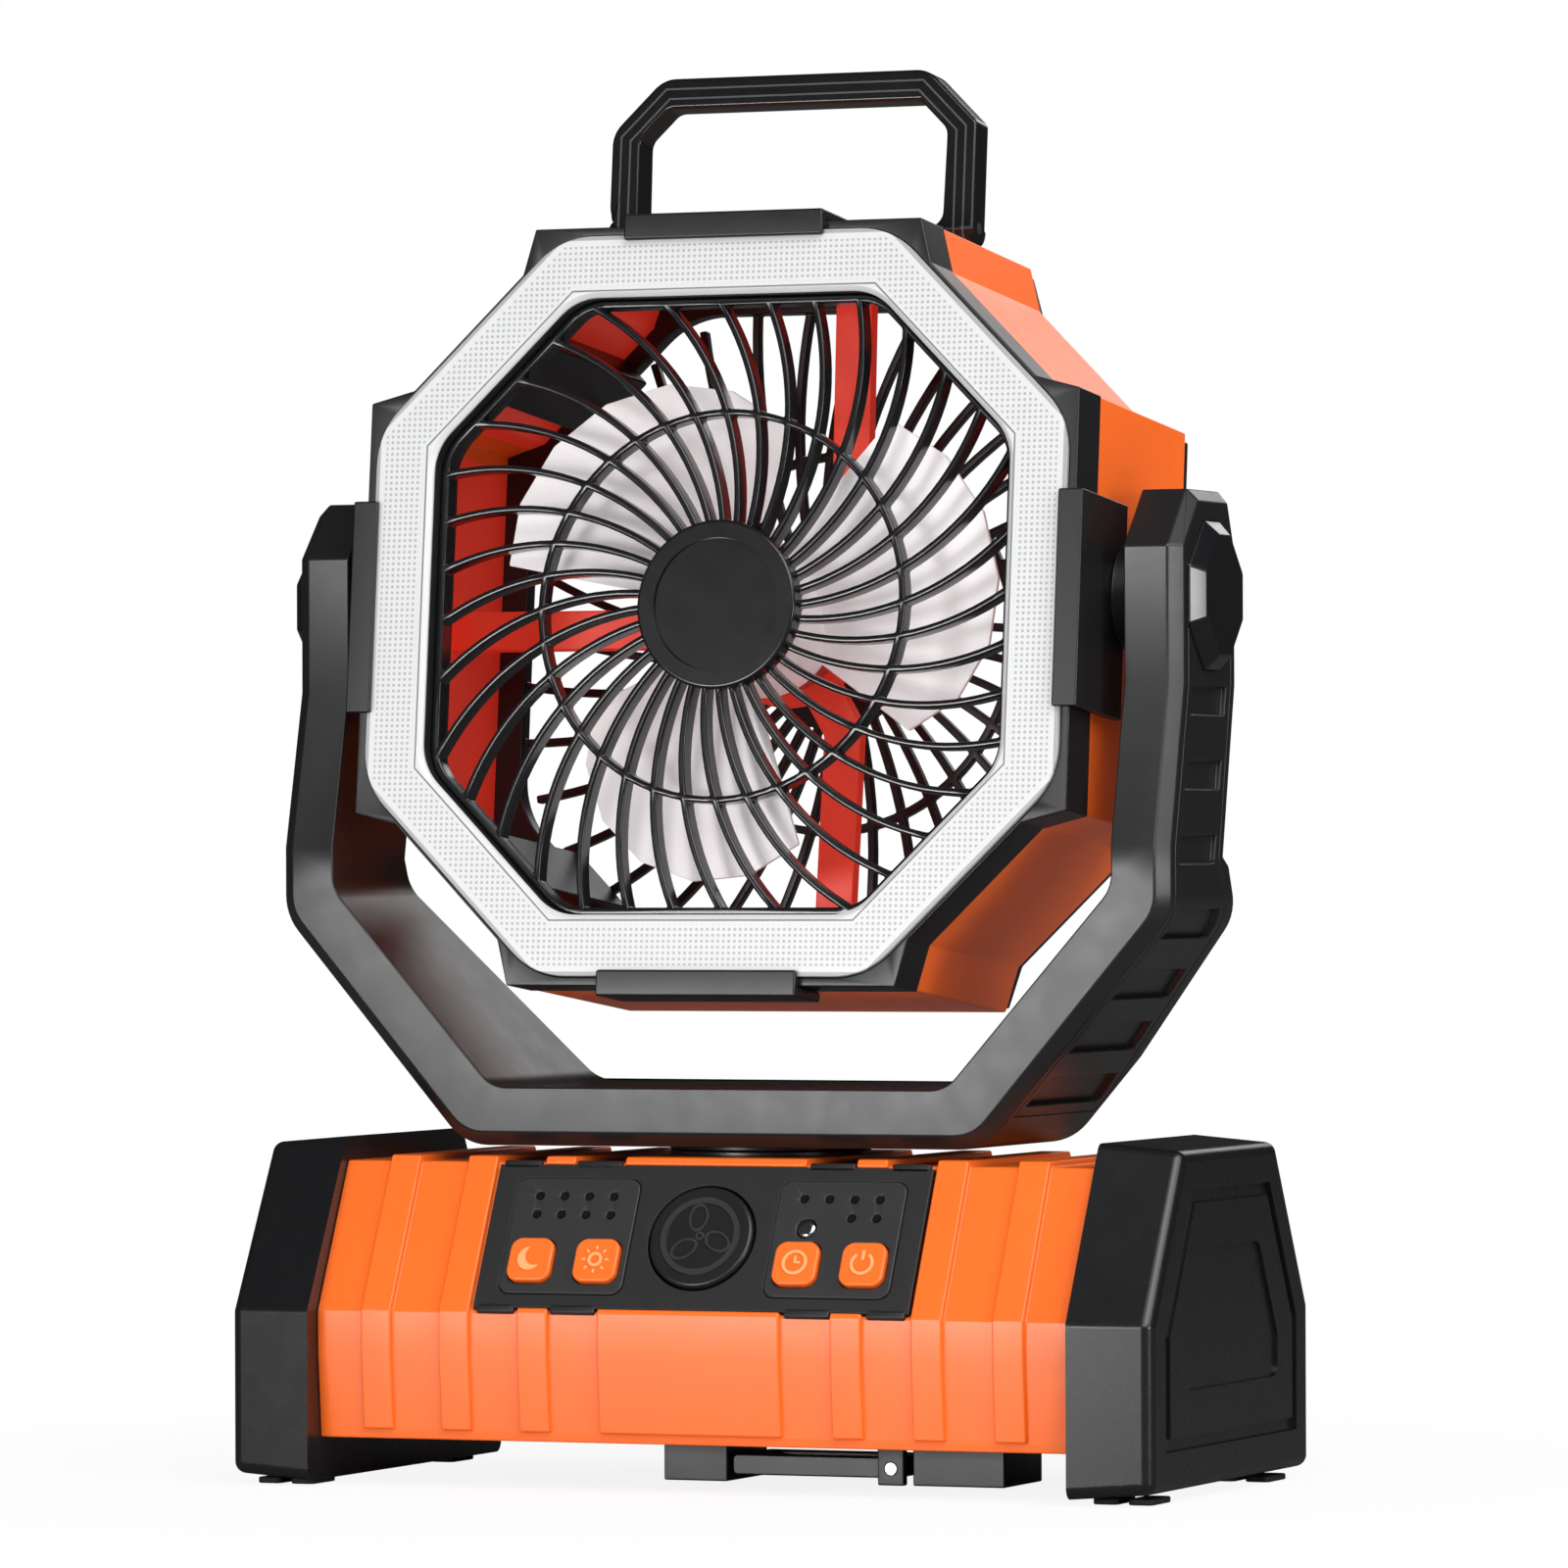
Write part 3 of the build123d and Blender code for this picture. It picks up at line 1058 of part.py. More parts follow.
with BuildPart() as pivot_cover_right:
    with BuildSketch(Plane.YZ.offset(YOKE_HALF)):
        with Locations((PIVOT_Y, PIVOT_Z)):
            half = [
                (HEX_FLAT / 2, -HEX_HEIGHT / 2),
                (HEX_WIDTH / 2, HEX_POINT - HEX_HEIGHT / 2),
                (HEX_WIDTH / 2, HEX_HEIGHT / 2 - HEX_POINT),
                (HEX_FLAT / 2, HEX_HEIGHT / 2),
            ]
            Polygon(mirrored(half), align=None)
    extrude(amount=HEX_THICK)
    chamfer(pivot_cover_right.faces().sort_by(Axis.X)[-1].edges(), HEX_BEVEL)
pivot_cover_right.part.label = "pivot_cover_right"
export_step(pivot_cover_right.part, "parts/pivot_cover_right.step")

with BuildPart() as pivot_cover_left:
    mirror(pivot_cover_right.part, about=Plane.YZ)
pivot_cover_left.part.label = "pivot_cover_left"
export_step(pivot_cover_left.part, "parts/pivot_cover_left.step")


def pivot_rings(outer_radius, inner_radius, start_x, end_x):
    """Pair of rings on the tilt axis, one on each side of the head."""
    with BuildPart() as rings:
        for side in (-1, 1):
            with BuildSketch(Plane.YZ.offset(side * start_x)):
                with Locations((PIVOT_Y, PIVOT_Z)):
                    Circle(outer_radius)
                    if inner_radius:
                        Circle(inner_radius, mode=Mode.SUBTRACT)
            extrude(amount=side * (end_x - start_x))
    return rings.part


with BuildPart() as pivot_bushes:
    add(pivot_rings(bush_seat_radius, PIVOT_RADIUS + RUN, yoke_inner_half, pivot_end_x))
pivot_bushes.part.label = "pivot_bushes"
export_step(pivot_bushes.part, "parts/pivot_bushes.step")

boss_end_x = yoke_inner_half - WASHER_THICK - CLEAR
with BuildPart() as tilt_washers:
    washer_back_x = yoke_inner_half - WASHER_THICK
    add(pivot_rings(PIVOT_BOSS_RADIUS, PIVOT_RADIUS + CLEAR, washer_back_x, yoke_inner_half))
tilt_washers.part.label = "tilt_washers"
export_step(tilt_washers.part, "parts/tilt_washers.step")

# --- head: its own plane, leaning back ------------------------------------------------------------------
lean = radians(REST_TILT)
face = Plane(
    origin=(
        0,
        PIVOT_Y - HEAD_DROP * sin(lean) + HEAD_SET_BACK * cos(lean),
        PIVOT_Z - HEAD_DROP * cos(lean) - HEAD_SET_BACK * sin(lean),
    ),
    x_dir=(1, 0, 0),
    z_dir=(0, -cos(lean), sin(lean)),
)
lens_front = FRAME_FRONT + LENS_PROUD
lens_back = lens_front - LENS_THICK
lamp_floor = lens_back - LAMP_DEPTH
grille_front = lens_back - GRILLE_SET_BACK
shell_reach = BAR_REACH - SHELL_STEP
corner_distance = (2 * LENS_HALF - LENS_LEG) / sqrt(2)  # from the centre to the lens's slanted sides
quarter_turns = [Location((0, 0, 0), (0, 0, 90 * turn)) for turn in range(4)]
diagonal_turns = [Location((0, 0, 0), (0, 0, 45 + 90 * turn)) for turn in range(4)]


def octagon(half, leg, corner, grow=0):
    """Square with its corners cut off over a leg and then rounded, grown all round."""
    flat = half - leg + (sqrt(2) - 1) * grow
    wide = half + grow
    with BuildSketch(Plane.XY) as outline:
        Polygon(mirrored([(flat, -wide), (wide, -flat), (wide, flat), (flat, wide)]), align=None)
        fillet(vertices(), corner + grow)
    return outline.sketch


def lens_outline(grow=0):
    """Outer outline of the lens, grown all round."""
    return octagon(LENS_HALF, LENS_LEG, LENS_CORNER, grow)


def opening(grow=0):
    """Outline of the opening in front of the fan, grown all round."""
    return octagon(OPENING_HALF, OPENING_LEG, OPENING_CORNER, grow)


def head_outline(step):
    """Outline of the head: an octagon with a raised bar on four sides, smaller by step."""
    add(lens_outline(FRAME_RIM - step))
    foot_y = 2 * LENS_HALF - LENS_LEG - BAR_FOOT_HALF_LENGTH
    bar = [
        (BAR_FOOT_HALF_LENGTH - step, 0),
        (BAR_FOOT_HALF_LENGTH - step, foot_y),
        (BAR_HALF_LENGTH - step, BAR_REACH - step),
    ]
    with Locations(*quarter_turns):
        Polygon(mirrored(bar), align=None)


# --- head: front frame and ring lamp --------------------------------------------------------------------
with BuildPart() as front_frame:
    with BuildSketch(face.offset(FRAME_BACK)):
        head_outline(0)
        add(opening(), mode=Mode.SUBTRACT)
    extrude(amount=FRAME_FRONT - FRAME_BACK)
    with BuildSketch(face.offset(lens_back)):
        add(lens_outline(SEAT))
    extrude(amount=2 * LENS_THICK, mode=Mode.SUBTRACT)
    with BuildSketch(face.offset(lamp_floor)):
        add(lens_outline(-LENS_LEDGE))
        add(opening(FRAME_LIP), mode=Mode.SUBTRACT)
    extrude(amount=LAMP_DEPTH, mode=Mode.SUBTRACT)
    with BuildSketch(face.offset(FRAME_BACK)):
        head_outline(SHELL_STEP + SHELL_WALL)
        add(opening(FRAME_LIP), mode=Mode.SUBTRACT)
    extrude(amount=lamp_floor - FRAME_WALL - FRAME_BACK, mode=Mode.SUBTRACT)
front_frame.part.label = "front_frame"
export_step(front_frame.part, "parts/front_frame.step")

with BuildPart() as lamp_lens:
    with BuildSketch(face.offset(lens_back)):
        add(lens_outline())
        add(opening(), mode=Mode.SUBTRACT)
    extrude(amount=LENS_THICK)
    front_side = lamp_lens.faces().filter_by(face).sort_by(Axis.Y)[0]
    chamfer(front_side.inner_wires()[0].edges(), LENS_LIP)
lamp_lens.part.label = "lamp_lens"
export_step(lamp_lens.part, "parts/lamp_lens.step")

with BuildPart() as lamp_board:
    with BuildSketch(face.offset(lamp_floor)):
        add(lens_outline(-LENS_LEDGE - SEAT))
        add(opening(FRAME_LIP + SEAT), mode=Mode.SUBTRACT)
    extrude(amount=LAMP_BOARD_THICK)
lamp_board.part.label = "lamp_board"
export_step(lamp_board.part, "parts/lamp_board.step")

chip_side_distance = (LENS_HALF + OPENING_HALF) / 2
chip_corner_distance = (corner_distance + (2 * OPENING_HALF - OPENING_LEG) / sqrt(2)) / 2
with BuildPart() as lamp_chips:
    with BuildSketch(face.offset(lamp_floor + LAMP_BOARD_THICK)):
        with Locations(*quarter_turns):
            with Locations((chip_side_distance, 0)):
                with GridLocations(0, LAMP_CHIP_PITCH, 1, LAMP_CHIPS_PER_SIDE):
                    Rectangle(LAMP_CHIP_SIZE, LAMP_CHIP_SIZE)
        with Locations(*diagonal_turns):
            with Locations((chip_corner_distance, 0)):
                with GridLocations(0, LAMP_CHIP_PITCH, 1, LAMP_CHIPS_PER_CORNER):
                    Rectangle(LAMP_CHIP_SIZE, LAMP_CHIP_SIZE)
    extrude(amount=LAMP_CHIP_HEIGHT)
lamp_chips.part.label = "lamp_chips"
export_step(lamp_chips.part, "parts/lamp_chips.step")


def lens_clip(spot, depth):
    """Clip that hooks over the lens on one side of the head and runs back along that side."""
    clip_front = lens_front + CLIP_THICK
    with BuildPart() as clip:
        for inner, back in (
            (CLIP_INNER, lens_front),
            (LENS_HALF + 2 * SEAT, FRAME_FRONT),
            (BAR_REACH + SEAT, clip_front - depth),
        ):
            with BuildSketch(face.offset(back)):
                with Locations(spot):
                    with Locations(((inner + CLIP_REACH) / 2, 0)):
                        Rectangle(CLIP_REACH - inner, 2 * CLIP_HALF_LENGTH)
            extrude(amount=clip_front - back)
    return clip.part


for name, spot in (("lens_clip_top", quarter_turns[1]), ("lens_clip_bottom", quarter_turns[3])):
    clip = lens_clip(spot, CLIP_DEPTH)
    clip.label = name
    export_step(clip, f"parts/{name}.step")

for name, side, spot in (
    ("pivot_block_right", 1, quarter_turns[0]),
    ("pivot_block_left", -1, quarter_turns[2]),
):
    with BuildPart() as pivot_block:
        add(lens_clip(spot, PIVOT_BLOCK_DEPTH))
        with BuildSketch(Plane.YZ.offset(side * shell_reach)):
            with Locations((PIVOT_Y, PIVOT_Z)):
                Circle(PIVOT_BOSS_RADIUS)
        extrude(amount=side * (boss_end_x - shell_reach))
        with BuildSketch(Plane.YZ.offset(side * shell_reach)):
            with Locations((PIVOT_Y, PIVOT_Z)):
                Circle(PIVOT_RADIUS)
        extrude(amount=side * (boss_end_x - shell_reach), mode=Mode.SUBTRACT)
    pivot_block.part.label = name
    export_step(pivot_block.part, f"parts/{name}.step")

pivot_nut_x = shell_reach - SHELL_WALL
with BuildPart() as pivot_shafts:
    add(pivot_rings(PIVOT_RADIUS, 0, pivot_nut_x, pivot_end_x - CLEAR))
    add(pivot_rings(PIVOT_RADIUS + PIVOT_BUSH_WALL, 0, pivot_nut_x - PIVOT_HEAD_THICK, pivot_nut_x))
pivot_shafts.part.label = "pivot_shafts"
export_step(pivot_shafts.part, "parts/pivot_shafts.step")


# --- head: grilles --------------------------------------------------------------------------------------
def spiral_ribs(start_radius, middle_turn, end_turn, width, grow):
    """Curved ribs from a hub to the edge of the opening, turning by the given degrees on their way."""
    with BuildSketch(Plane.XY) as spiral:
        with BuildLine():
            for number in range(GRILLE_RIBS):
                start = 2 * pi * number / GRILLE_RIBS
                ThreePointArc(
                    polar(start_radius, start),
                    polar(GRILLE_RING_RADIUS, start + radians(middle_turn)),
                    polar(GRILLE_END_RADIUS, start + radians(end_turn)),
                )
        trace(line_width=width)
        add(opening(grow), mode=Mode.INTERSECT)
    return spiral.sketch


with BuildPart() as front_grille:
    with BuildSketch(face.offset(grille_front - GRILLE_DEPTH)):
        add(opening(-SEAT))
        add(opening(-SEAT - GRILLE_RIM), mode=Mode.SUBTRACT)
        Circle(GRILLE_RING_RADIUS + GRILLE_RIB / 2)
        Circle(GRILLE_RING_RADIUS - GRILLE_RIB / 2, mode=Mode.SUBTRACT)
        Circle(GRILLE_HUB_RADIUS)
        add(
            spiral_ribs(
                GRILLE_HUB_RADIUS - GRILLE_RIB,
                GRILLE_TURN_MIDDLE,
                GRILLE_TURN_END,
                GRILLE_RIB,
                -SEAT - GRILLE_RIM / 2,
            )
        )
    extrude(amount=GRILLE_DEPTH)
front_grille.part.label = "front_grille"
export_step(front_grille.part, "parts/front_grille.step")

with BuildPart() as hub_cap:
    with BuildSketch(face.offset(grille_front)):
        Circle(HUB_CAP_RADIUS)
    extrude(amount=HUB_CAP_THICK)
    fillet(hub_cap.faces().sort_by(Axis.Y)[0].edges(), HUB_CAP_DISH)
    with BuildSketch(face.offset(grille_front + HUB_CAP_THICK - HUB_CAP_DISH)):
        Circle(HUB_CAP_DISH_RADIUS)
    extrude(amount=HUB_CAP_THICK, mode=Mode.SUBTRACT)
hub_cap.part.label = "hub_cap"
export_step(hub_cap.part, "parts/hub_cap.step")

post_distance = corner_distance + FRAME_RIM - SHELL_STEP - SHELL_WALL - SEAT - CORNER_POST_THICK / 2
back_z = SHELL_BACK - BACK_GRILLE_THICK
with BuildPart() as back_grille:
    with BuildSketch(face.offset(back_z)):
        head_outline(SHELL_STEP + BACK_STEP)
        add(opening(BACK_GRILLE_GROW), mode=Mode.SUBTRACT)
    extrude(amount=BACK_GRILLE_THICK)
    with BuildSketch(face.offset(back_z)):
        Circle(GRILLE_RING_RADIUS + BACK_GRILLE_RIB / 2)
        Circle(GRILLE_RING_RADIUS - BACK_GRILLE_RIB / 2, mode=Mode.SUBTRACT)
        Circle(BACK_DISC_RADIUS)
        add(
            spiral_ribs(
                BACK_DISC_RADIUS - BACK_GRILLE_RIB,
                BACK_GRILLE_TURN_MIDDLE,
                BACK_GRILLE_TURN_END,
                BACK_GRILLE_RIB,
                BACK_GRILLE_GROW + BACK_GRILLE_RIB / 2,
            )
        )
    extrude(amount=BACK_RIB_DEPTH)
    with BuildSketch(face.offset(back_z)):
        with Locations(*diagonal_turns):
            with Locations((post_distance, 0)):
                Circle(SCREW_RADIUS)
    extrude(amount=BACK_SCREW_LENGTH, mode=Mode.SUBTRACT)
    with BuildSketch(face.offset(back_z)):
        with Locations(*diagonal_turns):
            with Locations((post_distance, 0)):
                Circle(SCREW_HEAD_RADIUS + SEAT)
    extrude(amount=SCREW_HEAD_HEIGHT, mode=Mode.SUBTRACT)
back_grille.part.label = "back_grille"
export_step(back_grille.part, "parts/back_grille.step")

with BuildPart() as corner_posts:
    with BuildSketch(face.offset(SHELL_BACK)):
        with Locations(*diagonal_turns):
            with Locations((post_distance, 0)):
                Rectangle(CORNER_POST_THICK, CORNER_POST_WIDTH)
    extrude(amount=CORNER_POST_FRONT - SHELL_BACK)
    with BuildSketch(face.offset(SHELL_BACK)):
        with Locations(*diagonal_turns):
            with Locations((post_distance, 0)):
                Circle(SCREW_RADIUS)
    extrude(amount=BACK_SCREW_LENGTH - BACK_GRILLE_THICK, mode=Mode.SUBTRACT)
corner_posts.part.label = "corner_posts"
export_step(corner_posts.part, "parts/corner_posts.step")

with BuildPart() as shell_screws:
    for radius, length in ((SCREW_HEAD_RADIUS, SCREW_HEAD_HEIGHT), (SCREW_RADIUS, BACK_SCREW_LENGTH)):
        with BuildSketch(face.offset(back_z)):
            with Locations(*diagonal_turns):
                with Locations((post_distance, 0)):
                    Circle(radius)
        extrude(amount=length)
shell_screws.part.label = "shell_screws"
export_step(shell_screws.part, "parts/shell_screws.step")

# --- head: rear shell -----------------------------------------------------------------------------------
handle_axis = face.offset(HANDLE_AXIS_FORWARD).from_local_coords((0, HANDLE_AXIS_Y))
handle_leg_x = HANDLE_HALF - HANDLE_LEG / 2
axis_spot = Location((handle_axis.Y, handle_axis.Z, 0), (0, 0, -REST_TILT))
with BuildPart() as rear_shell:
    with BuildSketch(face.offset(SHELL_BACK)):
        head_outline(SHELL_STEP)
    extrude(amount=FRAME_BACK - SHELL_BACK)
    rear_edges = rear_shell.faces().sort_by(Axis.Y)[-1].edges()
    chamfer(rear_edges, BACK_STEP)
    with BuildSketch(face.offset(SHELL_BACK)):
        head_outline(SHELL_STEP + SHELL_WALL)
    extrude(amount=FRAME_BACK - SHELL_BACK, mode=Mode.SUBTRACT)
    for side in (-1, 1):
        with BuildSketch(Plane.YZ.offset(side * handle_leg_x)):
            with Locations(axis_spot):
                Circle(LUG_RADIUS)
                Rectangle(
                    2 * LUG_RADIUS, HANDLE_AXIS_Y - BAR_REACH + LUG_ROOT, align=(Align.CENTER, Align.MAX)
                )
        extrude(amount=LUG_THICK / 2, both=True)
    with BuildSketch(Plane.YZ):
        with Locations(axis_spot):
            Circle(HANDLE_PIN_RADIUS)
    extrude(amount=HANDLE_HALF, both=True, mode=Mode.SUBTRACT)
    with BuildSketch(Plane.YZ):
        with Locations((PIVOT_Y, PIVOT_Z)):
            Circle(PIVOT_RADIUS + SEAT)
    extrude(amount=yoke_inner_half, both=True, mode=Mode.SUBTRACT)
rear_shell.part.label = "rear_shell"
export_step(rear_shell.part, "parts/rear_shell.step")

# --- head: motor, its spider and the fan ----------------------------------------------------------------
spider_reach = shell_reach - SHELL_WALL
with BuildPart() as motor_spider:
    with BuildSketch(face.offset(MOTOR_BACK - SPIDER_THICK)):
        Circle(SPIDER_RADIUS)
        with BuildLine():
            Polyline((0, 0), (SPIDER_KNEE_X, SPIDER_KNEE_Y), (SPIDER_FOOT_X, spider_reach))
            Polyline((0, 0), (SPIDER_KNEE_X, -SPIDER_KNEE_Y), (SPIDER_FOOT_X, -spider_reach))
            Line((0, 0), (-spider_reach, 0))
        trace(line_width=SPIDER_ARM)
        with BuildSketch(Plane.XY, mode=Mode.INTERSECT):
            head_outline(SHELL_STEP + SHELL_WALL)
    extrude(amount=SPIDER_THICK)
motor_spider.part.label = "motor_spider"
export_step(motor_spider.part, "parts/motor_spider.step")

motor_front = MOTOR_BACK + MOTOR_LENGTH
shaft_back = MOTOR_BACK + SHAFT_SET_BACK
with BuildPart() as fan_motor:
    with BuildSketch(face.offset(MOTOR_BACK)):
        Circle(MOTOR_RADIUS)
    extrude(amount=MOTOR_LENGTH)
    with BuildSketch(face.offset(shaft_back - CLEAR)):
        Circle(FAN_SHAFT_RADIUS + RUN)
    extrude(amount=MOTOR_LENGTH, mode=Mode.SUBTRACT)
fan_motor.part.label = "fan_motor"
export_step(fan_motor.part, "parts/fan_motor.step")

with BuildPart() as motor_shaft:
    with BuildSketch(face.offset(shaft_back)):
        Circle(FAN_SHAFT_RADIUS)
    extrude(amount=ROTOR_FRONT - shaft_back)
motor_shaft.part.label = "motor_shaft"
export_step(motor_shaft.part, "parts/motor_shaft.step")


def blade_plane(angle, forward):
    """Plane through the fan's axis, at an angle and a distance forward, whose X runs outwards."""
    outward = face.x_dir * cos(angle) + face.y_dir * sin(angle)
    along = face.y_dir * cos(angle) - face.x_dir * sin(angle)
    return Plane(origin=face.origin + face.z_dir * forward, x_dir=outward, z_dir=along)


blade_root = ROTOR_RADIUS - ROTOR_WALL / 2
with BuildPart() as fan_rotor:
    with BuildSketch(face.offset(ROTOR_BACK)):
        Circle(ROTOR_RADIUS)
    extrude(amount=ROTOR_FRONT - ROTOR_BACK)
    for blade in range(BLADES):
        for step in range(BLADE_STEPS):
            share = step / (BLADE_STEPS - 1)
            angle = radians(BLADE_FIRST_ANGLE + 360 * blade / BLADES + BLADE_SWEEP * share)
            cut = BLADE_LEAD_CUT * (1 - share) ** 3 + BLADE_TRAIL_CUT * share**4
            tip = BLADE_TIP_RADIUS * (1 - cut)
            forward = ROTOR_BACK + BLADE_THICK + BLADE_RISE * share
            with BuildSketch(blade_plane(angle, forward)):
                with Locations(((blade_root + tip) / 2, 0)):
                    Rectangle(tip - blade_root, BLADE_THICK)
        loft(ruled=True)
    with BuildSketch(face.offset(ROTOR_BACK)):
        Circle(ROTOR_RADIUS - ROTOR_WALL)
    extrude(amount=ROTOR_FRONT - ROTOR_BACK - ROTOR_WALL, mode=Mode.SUBTRACT)
    with BuildSketch(face.offset(motor_front + CLEAR)):
        Circle(2 * FAN_SHAFT_RADIUS)
    extrude(amount=ROTOR_FRONT - motor_front - CLEAR)
    with BuildSketch(face.offset(ROTOR_BACK)):
        Circle(FAN_SHAFT_RADIUS)
    extrude(amount=ROTOR_FRONT, mode=Mode.SUBTRACT)
fan_rotor.part.label = "fan_rotor"
export_step(fan_rotor.part, "parts/fan_rotor.step")

# --- handle ---------------------------------------------------------------------------------------------
fork_radius = LUG_RADIUS + CLEAR
with BuildPart() as handle:
    with BuildSketch(face.offset(HANDLE_AXIS_FORWARD)):
        outer = [
            (HANDLE_HALF, HANDLE_AXIS_Y),
            (HANDLE_HALF, HANDLE_REACH - HANDLE_CORNER),
            (HANDLE_HALF - HANDLE_CORNER, HANDLE_REACH),
        ]
        Polygon(mirrored(outer), align=None)
        fillet(vertices().sort_by(Axis.Z)[2:], HANDLE_BEND)
        grip_half = HANDLE_HALF - HANDLE_LEG
        grip_top = HANDLE_REACH - HANDLE_BAR
        grip = [
            (grip_half, HANDLE_AXIS_Y),
            (grip_half, grip_top - HANDLE_INNER_CORNER),
            (grip_half - HANDLE_INNER_CORNER, grip_top),
        ]
        with BuildSketch(face.offset(HANDLE_AXIS_FORWARD), mode=Mode.SUBTRACT):
            Polygon(mirrored(grip), align=None)
            fillet(vertices().sort_by(Axis.Z)[2:], HANDLE_INNER_BEND)
    extrude(amount=HANDLE_DEPTH / 2, both=True)
    for side in (-1, 1):
        with BuildSketch(Plane.YZ.offset(side * handle_leg_x)):
            with Locations(axis_spot):
                Circle(HANDLE_DEPTH / 2)
        extrude(amount=HANDLE_LEG / 2, both=True)
        # fork for the shell's lug, open below and behind so that the handle folds back
        with BuildSketch(Plane.YZ.offset(side * handle_leg_x)):
            with Locations(axis_spot):
                Circle(fork_radius)
                Polygon(
                    [
                        (-fork_radius, 0),
                        (-fork_radius, -HANDLE_DEPTH),
                        (HANDLE_DEPTH, -HANDLE_DEPTH),
                        (HANDLE_DEPTH, fork_radius),
                        (0, fork_radius),
                    ],
                    align=None,
                )
        extrude(amount=LUG_THICK / 2 + CLEAR, both=True, mode=Mode.SUBTRACT)
    with BuildSketch(Plane.YZ):
        with Locations(axis_spot):
            Circle(HANDLE_PIN_RADIUS + RUN)
    extrude(amount=HANDLE_HALF, both=True, mode=Mode.SUBTRACT)
handle.part.label = "handle"
export_step(handle.part, "parts/handle.step")

with BuildPart() as handle_pins:
    for side in (-1, 1):
        with BuildSketch(Plane.YZ.offset(side * handle_leg_x)):
            with Locations(axis_spot):
                Circle(HANDLE_PIN_RADIUS)
        extrude(amount=HANDLE_LEG / 2, both=True)
handle_pins.part.label = "handle_pins"
export_step(handle_pins.part, "parts/handle_pins.step")
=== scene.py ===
# %% [markdown]
# # A portable camping fan with a ring lamp
# The fan is a battery base with ribs, a U-shaped yoke that swings on it, and an eight-sided head
# that tilts in the yoke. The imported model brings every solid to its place. Blender adds what a
# solid model lacks: the softened edges of moulded plastic, the symbols on the keys, the dotted
# lamp lens, and a finish for every surface.

# %% Load the frame
import json
from math import cos, radians, sin, sqrt

import bmesh
import bpy
from mathutils import Matrix, Vector

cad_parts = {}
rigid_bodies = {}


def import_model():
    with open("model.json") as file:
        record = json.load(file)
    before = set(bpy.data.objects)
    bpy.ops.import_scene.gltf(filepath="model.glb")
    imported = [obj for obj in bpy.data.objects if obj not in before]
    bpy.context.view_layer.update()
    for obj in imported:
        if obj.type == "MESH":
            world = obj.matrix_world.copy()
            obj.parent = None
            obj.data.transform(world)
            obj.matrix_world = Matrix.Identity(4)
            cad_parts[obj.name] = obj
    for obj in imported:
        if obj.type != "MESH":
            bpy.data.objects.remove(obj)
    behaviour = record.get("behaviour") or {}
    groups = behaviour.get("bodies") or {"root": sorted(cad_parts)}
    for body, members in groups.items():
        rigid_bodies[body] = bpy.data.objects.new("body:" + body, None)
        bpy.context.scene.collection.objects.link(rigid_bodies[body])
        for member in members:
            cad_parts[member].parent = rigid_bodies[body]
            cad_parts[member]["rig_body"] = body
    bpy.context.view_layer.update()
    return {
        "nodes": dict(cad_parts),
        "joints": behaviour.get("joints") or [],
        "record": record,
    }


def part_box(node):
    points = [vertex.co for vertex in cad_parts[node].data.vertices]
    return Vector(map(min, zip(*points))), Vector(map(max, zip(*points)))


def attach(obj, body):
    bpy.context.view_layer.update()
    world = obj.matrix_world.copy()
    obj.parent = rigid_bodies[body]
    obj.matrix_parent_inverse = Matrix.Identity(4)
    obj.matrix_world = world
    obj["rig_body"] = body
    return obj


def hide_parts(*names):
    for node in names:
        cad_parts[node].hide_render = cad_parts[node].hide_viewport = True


MM = 0.001
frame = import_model()
nodes = frame["nodes"]


# %% [markdown]
# ## Places that everything is measured from
# The head leans back in its yoke and the control panel lies on the base's slope. Both are flat
# faces, so each gets a small coordinate system of its own: across, up along the face, and out of
# it. They are read from the joints and from the boxes of the nodes, so they follow the solid model.

# %% Planes of the head and of the control panel
class FacePlane:
    """A face's own axes: right, up along the face, and outwards."""

    def __init__(self, origin, outward):
        self.origin = Vector(origin)
        self.out = Vector(outward).normalized()
        self.right = Vector((1, 0, 0))
        self.up = self.out.cross(self.right)

    def point(self, x, y, out=0.0):
        """A point of the face in the model's frame, from millimetres on the face."""
        return self.origin + (self.right * x + self.up * y + self.out * out) * MM

    def matrix(self, x=0.0, y=0.0, out=0.0, turn=0.0):
        """Matrix that carries the XY plane to the face, turned in it by an angle in degrees."""
        axes = Matrix((self.right, self.up, self.out)).transposed().to_4x4()
        return Matrix.Translation(self.point(x, y, out)) @ axes @ Matrix.Rotation(radians(turn), 4, "Z")


joints = {joint["name"]: joint for joint in frame["joints"]}
head_face = FacePlane(joints["fan_spin"]["pos_m"], joints["fan_spin"]["axis"])
press_axis = -Vector(joints["key_fan_press"]["axis"])
fan_key_low, fan_key_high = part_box("button_fan")
panel_middle = (fan_key_low + fan_key_high) / 2
fan_key_reach = max((v.co - panel_middle).dot(press_axis) for v in nodes["button_fan"].data.vertices)
panel_face = FacePlane(panel_middle + press_axis * fan_key_reach, press_axis)
print("head faces", tuple(round(v, 3) for v in head_face.out))
print("panel faces", tuple(round(v, 3) for v in panel_face.out))


# %% [markdown]
# ## The room
# The fan stands on a plain white floor in studio light. Floor and world show white to the camera. In
# reflections both are dark, so black plastic stays black but for the sheen of the lamps. The lamps
# keep a plain level, so that colours render as written.
#
# The floor is a plane with two shaders. One glows white like lit paper, for the camera alone. The
# other is matt and takes the shadow. Close to the fan more of the matt one shows, so the fan stands
# on a soft shadow, and further out the floor turns as white as the world behind it.

# %% Floor
FLOOR_SIZE = 12  # metres


